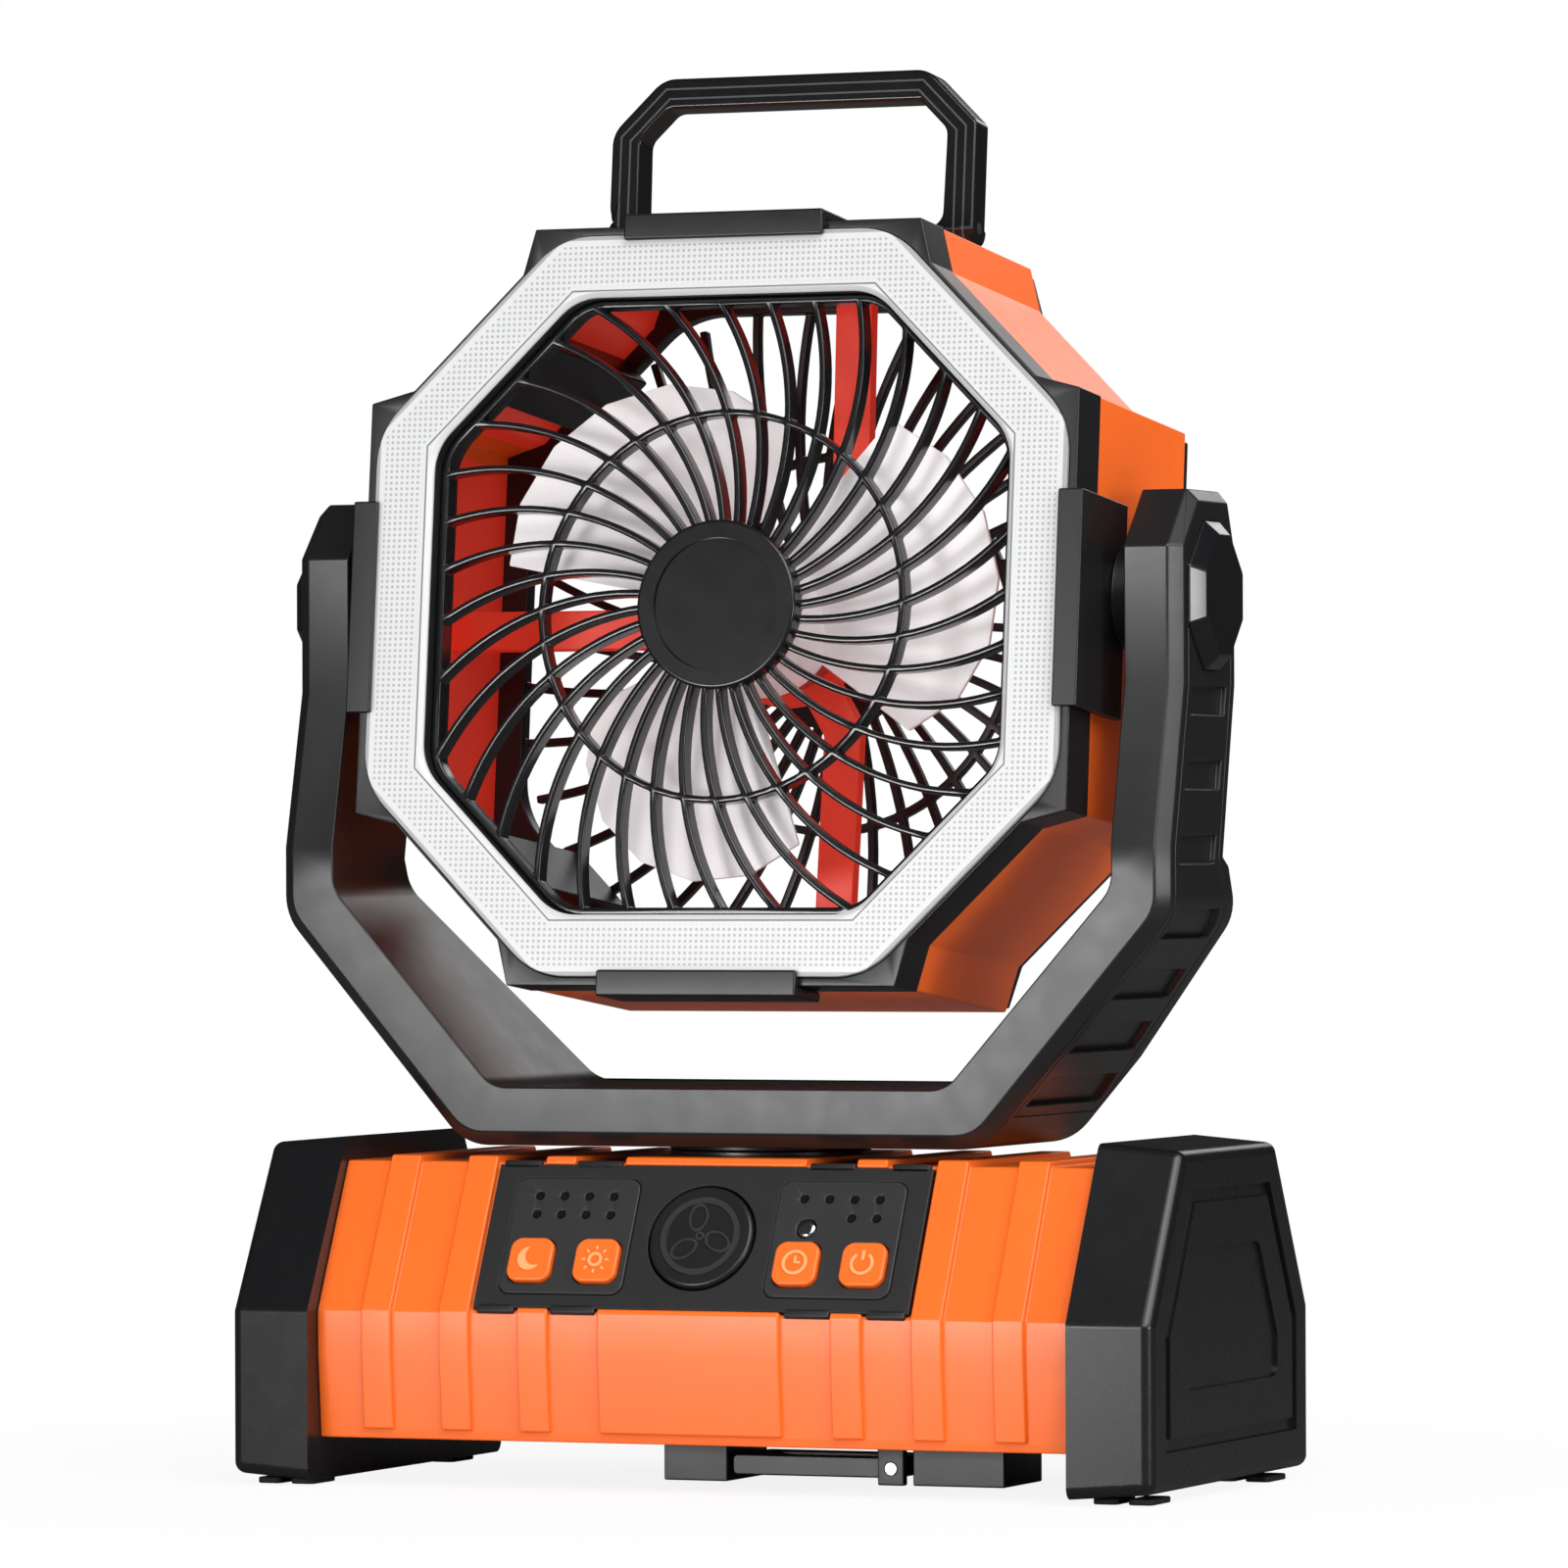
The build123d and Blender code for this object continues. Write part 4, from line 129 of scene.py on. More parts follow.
def deselect_all():
    """Leave nothing selected, so that the next operator acts on the new piece alone."""
    bpy.ops.object.select_all(action="DESELECT")
    bpy.context.view_layer.objects.active = None


deselect_all()
bpy.ops.mesh.primitive_plane_add(size=FLOOR_SIZE, location=(0, 0, 0))
floor = bpy.context.object
floor.name = "floor"
print("floor", tuple(floor.dimensions))

# %% Floor's material
FLOOR_GREY = 0.82
FLOOR_IN_REFLECTIONS = 0.12
PAPER_NEAR = 0.86  # share of the glowing paper under the fan
SHADE_REACH = 0.35  # distance in metres from the middle where the paper takes over


def nodes_of(material):
    """Node tree of a new material, and the shader in it."""
    material.use_nodes = True
    tree = material.node_tree
    return tree, tree.nodes["Principled BSDF"]


floor_white = bpy.data.materials.new("floor_white")
tree, shader = nodes_of(floor_white)
shader.inputs["Roughness"].default_value = 0.9
shader.inputs["Specular IOR Level"].default_value = 0.1
light_path = tree.nodes.new("ShaderNodeLightPath")
floor_tone = tree.nodes.new("ShaderNodeMix")
floor_tone.data_type = "RGBA"
floor_tone.inputs["A"].default_value = (FLOOR_GREY, FLOOR_GREY, FLOOR_GREY, 1)
floor_tone.inputs["B"].default_value = (FLOOR_IN_REFLECTIONS, FLOOR_IN_REFLECTIONS, FLOOR_IN_REFLECTIONS, 1)
tree.links.new(light_path.outputs["Is Glossy Ray"], floor_tone.inputs["Factor"])
tree.links.new(floor_tone.outputs["Result"], shader.inputs["Base Color"])
paper = tree.nodes.new("ShaderNodeEmission")
paper.inputs["Color"].default_value = (1, 1, 1, 1)
paper.inputs["Strength"].default_value = 1.0
shade = tree.nodes.new("ShaderNodeMixShader")
place = tree.nodes.new("ShaderNodeTexCoord")
near = tree.nodes.new("ShaderNodeTexGradient")
near.gradient_type = "SPHERICAL"
whiteness = tree.nodes.new("ShaderNodeMapRange")
whiteness.inputs["From Min"].default_value = 1 - SHADE_REACH
whiteness.inputs["To Min"].default_value = 1.0
whiteness.inputs["To Max"].default_value = PAPER_NEAR
seen = tree.nodes.new("ShaderNodeMath")
seen.operation = "MULTIPLY"
tree.links.new(place.outputs["Object"], near.inputs["Vector"])
tree.links.new(near.outputs["Fac"], whiteness.inputs["Value"])
tree.links.new(whiteness.outputs[0], seen.inputs[1])
tree.links.new(light_path.outputs["Is Camera Ray"], seen.inputs[0])
tree.links.new(seen.outputs[0], shade.inputs["Fac"])
tree.links.new(shader.outputs[0], shade.inputs[1])
tree.links.new(paper.outputs[0], shade.inputs[2])
tree.links.new(shade.outputs[0], tree.nodes["Material Output"].inputs["Surface"])
floor.data.materials.append(floor_white)
print("floor's material has", len(tree.nodes), "nodes")

# %% [markdown]
# The world is three plain backgrounds. The camera sees the white one, glossy plastic reflects the
# dark one, and all other light comes from the middle one, which fills the shadows a little.

# %% World
ROOM_LIGHT = 0.4
ROOM_IN_REFLECTIONS = 0.03
world = bpy.data.worlds.new("studio")
bpy.context.scene.world = world
world.use_nodes = True
sky_tree = world.node_tree
sky = sky_tree.nodes["Background"]
sky.inputs["Color"].default_value = (1, 1, 1, 1)
sky.inputs["Strength"].default_value = ROOM_LIGHT
dark_sky = sky_tree.nodes.new("ShaderNodeBackground")
dark_sky.inputs["Color"].default_value = (1, 1, 1, 1)
dark_sky.inputs["Strength"].default_value = ROOM_IN_REFLECTIONS
white_sky = sky_tree.nodes.new("ShaderNodeBackground")
white_sky.inputs["Color"].default_value = (1, 1, 1, 1)
white_sky.inputs["Strength"].default_value = 1.0
sky_path = sky_tree.nodes.new("ShaderNodeLightPath")
sky_mix = sky_tree.nodes.new("ShaderNodeMixShader")
gloss_mix = sky_tree.nodes.new("ShaderNodeMixShader")
sky_tree.links.new(sky_path.outputs["Is Glossy Ray"], gloss_mix.inputs["Fac"])
sky_tree.links.new(sky.outputs[0], gloss_mix.inputs[1])
sky_tree.links.new(dark_sky.outputs[0], gloss_mix.inputs[2])
sky_tree.links.new(sky_path.outputs["Is Camera Ray"], sky_mix.inputs["Fac"])
sky_tree.links.new(gloss_mix.outputs[0], sky_mix.inputs[1])
sky_tree.links.new(white_sky.outputs[0], sky_mix.inputs[2])
sky_tree.links.new(sky_mix.outputs[0], sky_tree.nodes["World Output"].inputs["Surface"])
print("world strength", ROOM_LIGHT)


# %% [markdown]
# Five soft lamps: one high on the right, one high in front, a low one on the left that shows as a
# sheen in the upright black faces, one behind that runs along the upper edges, and a low narrow one
# on the right that draws the upright edges. The two high lamps are large, so that flat black faces
# don't mirror them as a hard white patch.

# %% Lamps
def add_lamp(name, place, aim, size, power):
    """Add a square area lamp at a place, pointing at an aim, with its side in m and its power in W."""
    lamp_data = bpy.data.lights.new(name, "AREA")
    lamp_data.size = size
    lamp_data.energy = power
    lamp = bpy.data.objects.new(name, lamp_data)
    bpy.context.scene.collection.objects.link(lamp)
    lamp.location = place
    lamp.rotation_euler = (Vector(aim) - Vector(place)).to_track_quat("-Z", "Y").to_euler()


add_lamp("lamp_right", (1.1, -0.6, 1.4), (0, 0, 0.2), 1.2, 17)
add_lamp("lamp_left", (-0.64, -1.9, 0.05), (0, 0, 0.16), 0.6, 26)
add_lamp("lamp_front", (0.75, -1.5, 1.35), (0, 0, 0.17), 1.4, 20)
add_lamp("lamp_back", (0.1, 1.7, 0.92), (0, 0, 0.15), 0.5, 1.8)
add_lamp("lamp_edges", (1.7, -0.7, 0.3), (0, 0, 0.15), 0.35, 7)

# %% [markdown]
# ## The camera
# It stands a little to the right of the fan, about as high as the middle of the yoke, and far
# away behind a long lens, so that upright edges stay nearly upright.

# %% Camera
CAMERA_AZIMUTH = 22.316  # degrees round to the right from straight in front
CAMERA_RISE = -0.349  # degrees above the point it looks at
CAMERA_ROLL = -0.213
CAMERA_DISTANCE = 2.2676
CAMERA_TARGET = Vector((0.0039, 0, 0.1734))
CAMERA_FOCUS = 9300  # focal length in pixels of a picture as wide as the next line says
PICTURE_WIDTH = 1600
SENSOR_WIDTH = 36
camera_data = bpy.data.cameras.new("camera")
camera_data.sensor_width = SENSOR_WIDTH
camera_data.lens = CAMERA_FOCUS / PICTURE_WIDTH * SENSOR_WIDTH
camera = bpy.data.objects.new("camera", camera_data)
bpy.context.scene.collection.objects.link(camera)
bpy.context.scene.camera = camera
azimuth = radians(CAMERA_AZIMUTH)
rise = radians(CAMERA_RISE)
away = Vector((sin(azimuth) * cos(rise), -cos(azimuth) * cos(rise), sin(rise)))
camera.location = CAMERA_TARGET + away * CAMERA_DISTANCE
view_turn = (-away).to_track_quat("-Z", "Y").to_matrix() @ Matrix.Rotation(radians(CAMERA_ROLL), 3, "Z")
camera.rotation_euler = view_turn.to_euler()
bpy.context.scene.view_settings.view_transform = "Standard"
print("lens", round(camera_data.lens, 1), "mm at", tuple(round(v, 3) for v in camera.location))

# %% [markdown]
# ## Finishes
# Every finish starts from the same idea: moulded plastic is never perfectly even. A shared group
# gives a slight change of tone in broad patches, a finer change of gloss, and the tiny grain that
# spark-eroded moulds leave. Each material then sets its own colour, gloss and grain.

# %% Group: mould grain
BROAD_SCALE = 22.0  # patches of tone, about 45 mm across
GLOSS_SCALE = 160.0  # patches of gloss, about 6 mm across
grain_group = bpy.data.node_groups.new("mould_grain", "ShaderNodeTree")
for socket_name, socket_type, value in (
    ("Colour", "NodeSocketColor", (0.5, 0.5, 0.5, 1)),
    ("Tone Change", "NodeSocketFloat", 0.06),
    ("Gloss", "NodeSocketFloat", 0.4),
    ("Gloss Change", "NodeSocketFloat", 0.06),
    ("Grain Size", "NodeSocketFloat", 2500.0),
    ("Grain Depth", "NodeSocketFloat", 0.05),
):
    socket = grain_group.interface.new_socket(name=socket_name, in_out="INPUT", socket_type=socket_type)
    socket.default_value = value
for socket_name, socket_type in (
    ("Colour", "NodeSocketColor"),
    ("Roughness", "NodeSocketFloat"),
    ("Normal", "NodeSocketVector"),
):
    grain_group.interface.new_socket(name=socket_name, in_out="OUTPUT", socket_type=socket_type)

g_in = grain_group.nodes.new("NodeGroupInput")
g_out = grain_group.nodes.new("NodeGroupOutput")
g_place = grain_group.nodes.new("ShaderNodeTexCoord")
g_broad = grain_group.nodes.new("ShaderNodeTexNoise")
g_broad.inputs["Scale"].default_value = BROAD_SCALE
g_broad.inputs["Detail"].default_value = 3.0
g_tone = grain_group.nodes.new("ShaderNodeMapRange")
g_tone.inputs["From Min"].default_value = 0.3
g_tone.inputs["From Max"].default_value = 0.7
g_low = grain_group.nodes.new("ShaderNodeMath")
g_low.operation = "SUBTRACT"
g_low.inputs[0].default_value = 1.0
g_high = grain_group.nodes.new("ShaderNodeMath")
g_high.operation = "ADD"
g_high.inputs[0].default_value = 1.0
g_scale = grain_group.nodes.new("ShaderNodeVectorMath")
g_scale.operation = "SCALE"
g_middle = grain_group.nodes.new("ShaderNodeTexNoise")
g_middle.inputs["Scale"].default_value = GLOSS_SCALE
g_middle.inputs["Detail"].default_value = 4.0
g_gloss = grain_group.nodes.new("ShaderNodeMath")
g_gloss.operation = "MULTIPLY_ADD"
g_centre = grain_group.nodes.new("ShaderNodeMath")
g_centre.operation = "SUBTRACT"
g_centre.inputs[1].default_value = 0.5
g_fine = grain_group.nodes.new("ShaderNodeTexNoise")
g_fine.inputs["Detail"].default_value = 2.0
g_bump = grain_group.nodes.new("ShaderNodeBump")
g_bump.inputs["Distance"].default_value = 0.2 * MM
link = grain_group.links.new
for texture in (g_broad, g_middle, g_fine):
    link(g_place.outputs["Object"], texture.inputs["Vector"])
link(g_broad.outputs["Fac"], g_tone.inputs["Value"])
link(g_in.outputs["Tone Change"], g_low.inputs[1])
link(g_in.outputs["Tone Change"], g_high.inputs[1])
link(g_low.outputs[0], g_tone.inputs["To Min"])
link(g_high.outputs[0], g_tone.inputs["To Max"])
link(g_in.outputs["Colour"], g_scale.inputs[0])
link(g_tone.outputs[0], g_scale.inputs["Scale"])
link(g_scale.outputs[0], g_out.inputs["Colour"])
link(g_middle.outputs["Fac"], g_centre.inputs[0])
link(g_centre.outputs[0], g_gloss.inputs[0])
link(g_in.outputs["Gloss Change"], g_gloss.inputs[1])
link(g_in.outputs["Gloss"], g_gloss.inputs[2])
link(g_gloss.outputs[0], g_out.inputs["Roughness"])
link(g_in.outputs["Grain Size"], g_fine.inputs["Scale"])
link(g_fine.outputs["Fac"], g_bump.inputs["Height"])
link(g_in.outputs["Grain Depth"], g_bump.inputs["Strength"])
link(g_bump.outputs[0], g_out.inputs["Normal"])
print("group", grain_group.name, "with", len(grain_group.nodes), "nodes")

# %% [markdown]
# The case is ABS plastic in two colours: a black that varies from satin on the yoke to gloss on the
# handle, and a strong orange. The record names a material slot for each node, and each slot gets one
# of these finishes. Metal parts differ in one value only, Metallic.
#
# Thin plastic lets some light through. The solids don't, so the blades and the thin orange walls get
# a slight glow of their own colour, as if lit from behind.

# %% Moulded finishes
ORANGE = (0.8, 0.13, 0.012)
BLADE_GLOW = 0.15


def moulded(name, colour, gloss, tone=0.06, gloss_change=0.08, grain=2500.0, depth=0.05):
    """A moulded finish: its colour, roughness and grain, with a little unevenness in each."""
    material = bpy.data.materials.new(name)
    tree, shader = nodes_of(material)
    group = tree.nodes.new("ShaderNodeGroup")
    group.node_tree = grain_group
    group.inputs["Colour"].default_value = (*colour, 1)
    group.inputs["Tone Change"].default_value = tone
    group.inputs["Gloss"].default_value = gloss
    group.inputs["Gloss Change"].default_value = gloss_change
    group.inputs["Grain Size"].default_value = grain
    group.inputs["Grain Depth"].default_value = depth
    tree.links.new(group.outputs["Colour"], shader.inputs["Base Color"])
    tree.links.new(group.outputs["Roughness"], shader.inputs["Roughness"])
    tree.links.new(group.outputs["Normal"], shader.inputs["Normal"])
    return material


def shader_of(material):
    """The one shader of a finish."""
    return material.node_tree.nodes["Principled BSDF"]


def glow(material, colour, strength):
    """Let a finish shine a little in a colour, as thin plastic does with light behind it."""
    shader_of(material).inputs["Emission Color"].default_value = (*colour, 1)
    shader_of(material).inputs["Emission Strength"].default_value = strength


satin_black = moulded("satin_black", (0.01, 0.01, 0.011), 0.34)
cap_black = moulded("cap_black", (0.007, 0.007, 0.008), 0.27, depth=0.03)
gloss_black = moulded("gloss_black", (0.006, 0.006, 0.007), 0.2, gloss_change=0.05, depth=0.015)
panel_black = moulded("panel_black", (0.012, 0.012, 0.013), 0.5, grain=3600.0, depth=0.08)
plate_black = moulded("plate_black", (0.024, 0.024, 0.025), 0.4, grain=3600.0)
rubber_black = moulded("rubber_black", (0.012, 0.012, 0.012), 0.75, depth=0.12)
orange = moulded("orange", ORANGE, 0.34, tone=0.03)
mark_orange = moulded("mark_orange", (0.95, 0.33, 0.12), 0.4, tone=0.02)
blade_grey = moulded("blade_grey", (0.9, 0.85, 0.86), 0.3, tone=0.03)
glow(blade_grey, (1, 0.96, 0.97), BLADE_GLOW)
lens_white = moulded("lens_white", (0.54, 0.545, 0.55), 0.3, tone=0.01)
clear_lens = moulded("clear_lens", (0.55, 0.56, 0.58), 0.12)
board_green = moulded("board_green", (0.02, 0.13, 0.05), 0.35, tone=0.15)
board_white = moulded("board_white", (0.82, 0.82, 0.8), 0.4)
lamp_yellow = moulded("lamp_yellow", (0.85, 0.62, 0.12), 0.4)
cell_sleeve = moulded("cell_sleeve", (0.04, 0.13, 0.42), 0.3)
gear_white = moulded("gear_white", (0.76, 0.75, 0.71), 0.38)
steel = moulded("steel", (0.62, 0.63, 0.65), 0.32, depth=0.03)
motor_can = moulded("motor_can", (0.56, 0.57, 0.6), 0.36, depth=0.05)
brass = moulded("brass", (0.66, 0.47, 0.18), 0.36, tone=0.1)
eye_silver = moulded("eye_silver", (0.62, 0.63, 0.65), 0.18)
for metal in (steel, motor_can, brass, eye_silver):
    shader_of(metal).inputs["Metallic"].default_value = 1.0
finish_of_slot = {
    "black_plastic": satin_black,
    "gloss_black": gloss_black,
    "orange_plastic": orange,
    "lens_white": lens_white,
    "blade_plastic": blade_grey,
    "rubber_black": rubber_black,
    "clear_lens": clear_lens,
    "board_green": board_green,
    "board_white": board_white,
    "lamp_yellow": lamp_yellow,
    "steel": steel,
    "motor_can": motor_can,
    "cell_sleeve": cell_sleeve,
    "brass_bush": brass,
    "gear_white": gear_white,
}
print("finishes", len(finish_of_slot))

# %% [markdown]
# ## Patterns and painted light that follow the head's outline
# The lamp's lens is a band round the eight-sided opening. Rows of tiny lens dots fill it, and thin
# lines border it. The handle has two fine lines along its bar, with a painted highlight, and the
# shell's inside is painted deeper in colour as painted shade. All of these follow the outline, so
# one shared group says how far a point lies from the head's middle: across, up, along the straight
# sides and along the slanted ones.

# %% Group: head outline
OPENING_HALF = 76.7  # half width of the opening in mm
OPENING_SLANT = 82.3  # distance of its slanted sides from the middle
LENS_HALF = 92.0
LENS_SLANT = 96.2
SHELL_INNER = 92.8
SHELL_INNER_SLANT = 96.5
HANDLE_HALF = 49.4
HANDLE_REACH = 139.0
HANDLE_SLANT = 123.7


def calc(tree, operation, first, second=None):
    """Result of a maths node of two values, each a number or another node's result."""
    node = tree.nodes.new("ShaderNodeMath")
    node.operation = operation
    for number, value in enumerate((first, second)):
        if isinstance(value, (int, float)):
            node.inputs[number].default_value = value
        elif value is not None:
            tree.links.new(value, node.inputs[number])
    return node.outputs[0]


outline_group = bpy.data.node_groups.new("head_outline", "ShaderNodeTree")
for socket_name in ("Across", "Up", "Straight", "Slant"):
    outline_group.interface.new_socket(name=socket_name, in_out="OUTPUT", socket_type="NodeSocketFloat")
o_out = outline_group.nodes.new("NodeGroupOutput")
o_place = outline_group.nodes.new("ShaderNodeTexCoord")
o_offset = outline_group.nodes.new("ShaderNodeVectorMath")
o_offset.operation = "SUBTRACT"
o_offset.inputs[1].default_value = head_face.origin
outline_group.links.new(o_place.outputs["Object"], o_offset.inputs[0])
measures = {}
for measure_name, direction in (("Across", head_face.right), ("Up", head_face.up)):
    measure = outline_group.nodes.new("ShaderNodeVectorMath")
    measure.operation = "DOT_PRODUCT"
    measure.inputs[1].default_value = direction / MM
    outline_group.links.new(o_offset.outputs[0], measure.inputs[0])
    measures[measure_name] = measure.outputs["Value"]
    outline_group.links.new(measure.outputs["Value"], o_out.inputs[measure_name])
across = calc(outline_group, "ABSOLUTE", measures["Across"])
up = calc(outline_group, "ABSOLUTE", measures["Up"])
outline_group.links.new(calc(outline_group, "MAXIMUM", across, up), o_out.inputs["Straight"])
slant = calc(outline_group, "DIVIDE", calc(outline_group, "ADD", across, up), sqrt(2))
outline_group.links.new(slant, o_out.inputs["Slant"])
print("group", outline_group.name, "with", len(outline_group.nodes), "nodes")


# %% [markdown]
# A pattern is built from masks, values of 1 where it is and 0 where it isn't. A mask comes from
# comparing a distance with a limit, and turns the finish to another colour there. That needs no
# picture and stays sharp at any size. The real lens has a tiny prism for each dot, too fine to model
# one by one.

# %% Helpers for masks
def outline_of(material):
    """The outline group's node in a finish, with the finish's tree."""
    tree = material.node_tree
    node = tree.nodes.new("ShaderNodeGroup")
    node.node_tree = outline_group
    return tree, node


def beyond(tree, outline, straight, slant):
    """Distance in mm outside an eight-sided line, negative inside it."""
    by_side = calc(tree, "SUBTRACT", outline.outputs["Straight"], straight)
    by_slant = calc(tree, "SUBTRACT", outline.outputs["Slant"], slant)
    return calc(tree, "MAXIMUM", by_side, by_slant)


def between(tree, value, low, high):
    """1 where a value lies between two limits, else 0."""
    above = calc(tree, "GREATER_THAN", value, low)
    return calc(tree, "MULTIPLY", above, calc(tree, "LESS_THAN", value, high))


def tint(material, mask, colour):
    """Turn a finish to another colour where a mask is 1."""
    tree = material.node_tree
    shader = shader_of(material)
    before = shader.inputs["Base Color"].links[0].from_socket
    mix = tree.nodes.new("ShaderNodeMix")
    mix.data_type = "RGBA"
    tree.links.new(mask, mix.inputs["Factor"])
    tree.links.new(before, mix.inputs["A"])
    mix.inputs["B"].default_value = (*colour, 1)
    tree.links.new(mix.outputs["Result"], shader.inputs["Base Color"])


print("mask helpers", outline_of.__name__, beyond.__name__, between.__name__, tint.__name__)

# %% Lens dots and borders
DOT_PITCH = 1.45
DOT_RADIUS = 0.27  # as a share of the pitch
DOT_MARGIN = 2.6  # width of the plain strip between the dots and each border
INNER_LINE = (1.3, 1.75)  # where the dark line round the opening starts and ends
OUTER_LINE = 1.1  # width of the grey line at the outer edge
DOT_GREY = (0.33, 0.33, 0.34)
INNER_LINE_GREY = (0.16, 0.16, 0.17)
OUTER_LINE_GREY = (0.3, 0.3, 0.31)
tree, outline = outline_of(lens_white)
from_opening = beyond(tree, outline, OPENING_HALF, OPENING_SLANT)
from_edge = beyond(tree, outline, LENS_HALF, LENS_SLANT)
squares = []
for direction in ("Across", "Up"):
    steps = calc(tree, "DIVIDE", outline.outputs[direction], DOT_PITCH)
    offset = calc(tree, "SUBTRACT", calc(tree, "FRACT", steps), 0.5)
    squares.append(calc(tree, "MULTIPLY", offset, offset))
dots = calc(tree, "LESS_THAN", calc(tree, "ADD", *squares), DOT_RADIUS**2)
dots = calc(tree, "MULTIPLY", dots, calc(tree, "GREATER_THAN", from_opening, DOT_MARGIN))
dots = calc(tree, "MULTIPLY", dots, calc(tree, "LESS_THAN", from_edge, -DOT_MARGIN))
tint(lens_white, dots, DOT_GREY)
tint(lens_white, between(tree, from_opening, *INNER_LINE), INNER_LINE_GREY)
tint(lens_white, calc(tree, "GREATER_THAN", from_edge, -OUTER_LINE), OUTER_LINE_GREY)
print("lens dots every", DOT_PITCH, "mm")

# %% [markdown]
# Light that has passed through or between orange plastic is deeper and redder, and the inside of the
# shell lies in shade. So the shell is painted red where a point lies within its inner outline, and the
# motor's three arms inside it are painted red all over: painted shade and painted light, not the
# colour of the plastic.

# %% Painted shade inside the shell and on the motor's arms
# painted shade and painted light: the red of the shell's inside and of the motor's arms
INSIDE_SHADE_RED = (0.85, 0.05, 0.02)
RED_GLOW = (0.8, 0.04, 0.02)
ORANGE_GLOW = (0.35, 0.03, 0.004)
WALL_GLOW = 0.2
ARM_GLOW = 0.22
orange_shell = moulded("orange_shell", ORANGE, 0.34, tone=0.03)
tree, outline = outline_of(orange_shell)
inside = calc(tree, "LESS_THAN", beyond(tree, outline, SHELL_INNER, SHELL_INNER_SLANT), 0.0)
# painted shade: red within the shell's inner outline
tint(orange_shell, inside, INSIDE_SHADE_RED)
glow(orange_shell, ORANGE_GLOW, WALL_GLOW)
wall_colour = tree.nodes.new("ShaderNodeMix")
wall_colour.data_type = "RGBA"
wall_colour.inputs["A"].default_value = (*ORANGE_GLOW, 1)
wall_colour.inputs["B"].default_value = (*RED_GLOW, 1)
tree.links.new(inside, wall_colour.inputs["Factor"])
tree.links.new(wall_colour.outputs["Result"], shader_of(orange_shell).inputs["Emission Color"])
# painted shade: the motor's arms are painted red all over
shaded_arm_red = moulded("shaded_arm_red", INSIDE_SHADE_RED, 0.34, tone=0.03)
glow(shaded_arm_red, RED_GLOW, ARM_GLOW)
print("glow", WALL_GLOW, ARM_GLOW)

# %% [markdown]
# Two fine lines run along the handle's bar, on its front and back. They are shallow enough to be
# part of the finish: the Normal is bent at the lines, and their colour is painted a little lighter,
# a painted highlight as where an edge catches the light.

# %% Handle lines
HANDLE_LINES = (2.5, 5.0)  # distance of each line from the handle's outer edge
HANDLE_LINE_WIDTH = 0.5
HANDLE_LINE_DEPTH = 0.4
HANDLE_LINE_HIGHLIGHT = (0.07, 0.07, 0.072)
handle_black = moulded("handle_black", (0.006, 0.006, 0.007), 0.2, gloss_change=0.05, depth=0.015)
tree, outline = outline_of(handle_black)
by_side = calc(tree, "SUBTRACT", calc(tree, "ABSOLUTE", outline.outputs["Across"]), HANDLE_HALF)
by_top = calc(tree, "SUBTRACT", outline.outputs["Up"], HANDLE_REACH)
by_slant = calc(tree, "SUBTRACT", outline.outputs["Slant"], HANDLE_SLANT)
from_rim = calc(tree, "MAXIMUM", calc(tree, "MAXIMUM", by_side, by_top), by_slant)
line_masks = [between(tree, from_rim, -start - HANDLE_LINE_WIDTH, -start) for start in HANDLE_LINES]
lines = calc(tree, "ADD", *line_masks)
groove_bump = tree.nodes.new("ShaderNodeBump")
groove_bump.inputs["Distance"].default_value = HANDLE_LINE_DEPTH * MM
tree.links.new(calc(tree, "SUBTRACT", 1.0, lines), groove_bump.inputs["Height"])
handle_normal = shader_of(handle_black).inputs["Normal"]
tree.links.new(handle_normal.links[0].from_socket, groove_bump.inputs["Normal"])
tree.links.new(groove_bump.outputs[0], handle_normal)
# painted highlight: the lines' colour is a little lighter
tint(handle_black, lines, HANDLE_LINE_HIGHLIGHT)
print("handle lines at", HANDLE_LINES, "mm")

# %% [markdown]
# Most nodes take the finish of their slot. A few differ from the others of their slot, and are
# listed by name.

# %% Give every node its finish
finish_of_node = {
    "end_cap_left": cap_black,
    "end_cap_right": cap_black,
    "rear_shell": orange_shell,
    "motor_spider": shaded_arm_red,
    "handle": handle_black,
    "control_panel": panel_black,
    "indicator_plates": plate_black,
    "indicator_lights": gloss_black,
    "remote_eye": eye_silver,
}
slot_of_node = {part["node"]: part["material_slot"] for part in frame["record"]["subparts"]}
for node_name, node in nodes.items():
    node.data.materials.clear()
    by_slot = finish_of_slot[slot_of_node[node_name]]
    node.data.materials.append(finish_of_node.get(node_name, by_slot))
print("nodes with a finish", len(slot_of_node))


# %% [markdown]
# ## Softened edges
# A mould can't make a knife edge, and light runs along the small rounding of every corner. So each
# plastic node gets a copy whose loose triangles are merged, whose flat faces are joined, and whose
# sharp edges are bevelled by a few tenths of a millimetre. The copy stands for the node. The solids
# stay sharp, because there such small roundings would only cost time.
#
# Bevel works on edge weights here, so it is plain which edges it takes. On a large face with many
# corners it can fold the face over itself, so such faces are filled again with triangles. The
# handle is bevelled above its fork only, where the corners have room for it. The end caps keep the
# solid's own edges, as their narrow grooves leave a bevel no room.

# %% Rounded copies
FLAT_TURN = 0.6  # up to this turn in degrees two faces are one flat face
BEVEL_TURN = 20.0  # an edge gets a bevel from this turn on
SMOOTH_TURN = 60.0  # up to this turn shading runs smoothly over an edge
MERGE_REACH = 0.01  # distance in mm within which corners are one
WIDE_CORNERS = 5  # a face with more corners is a wide one


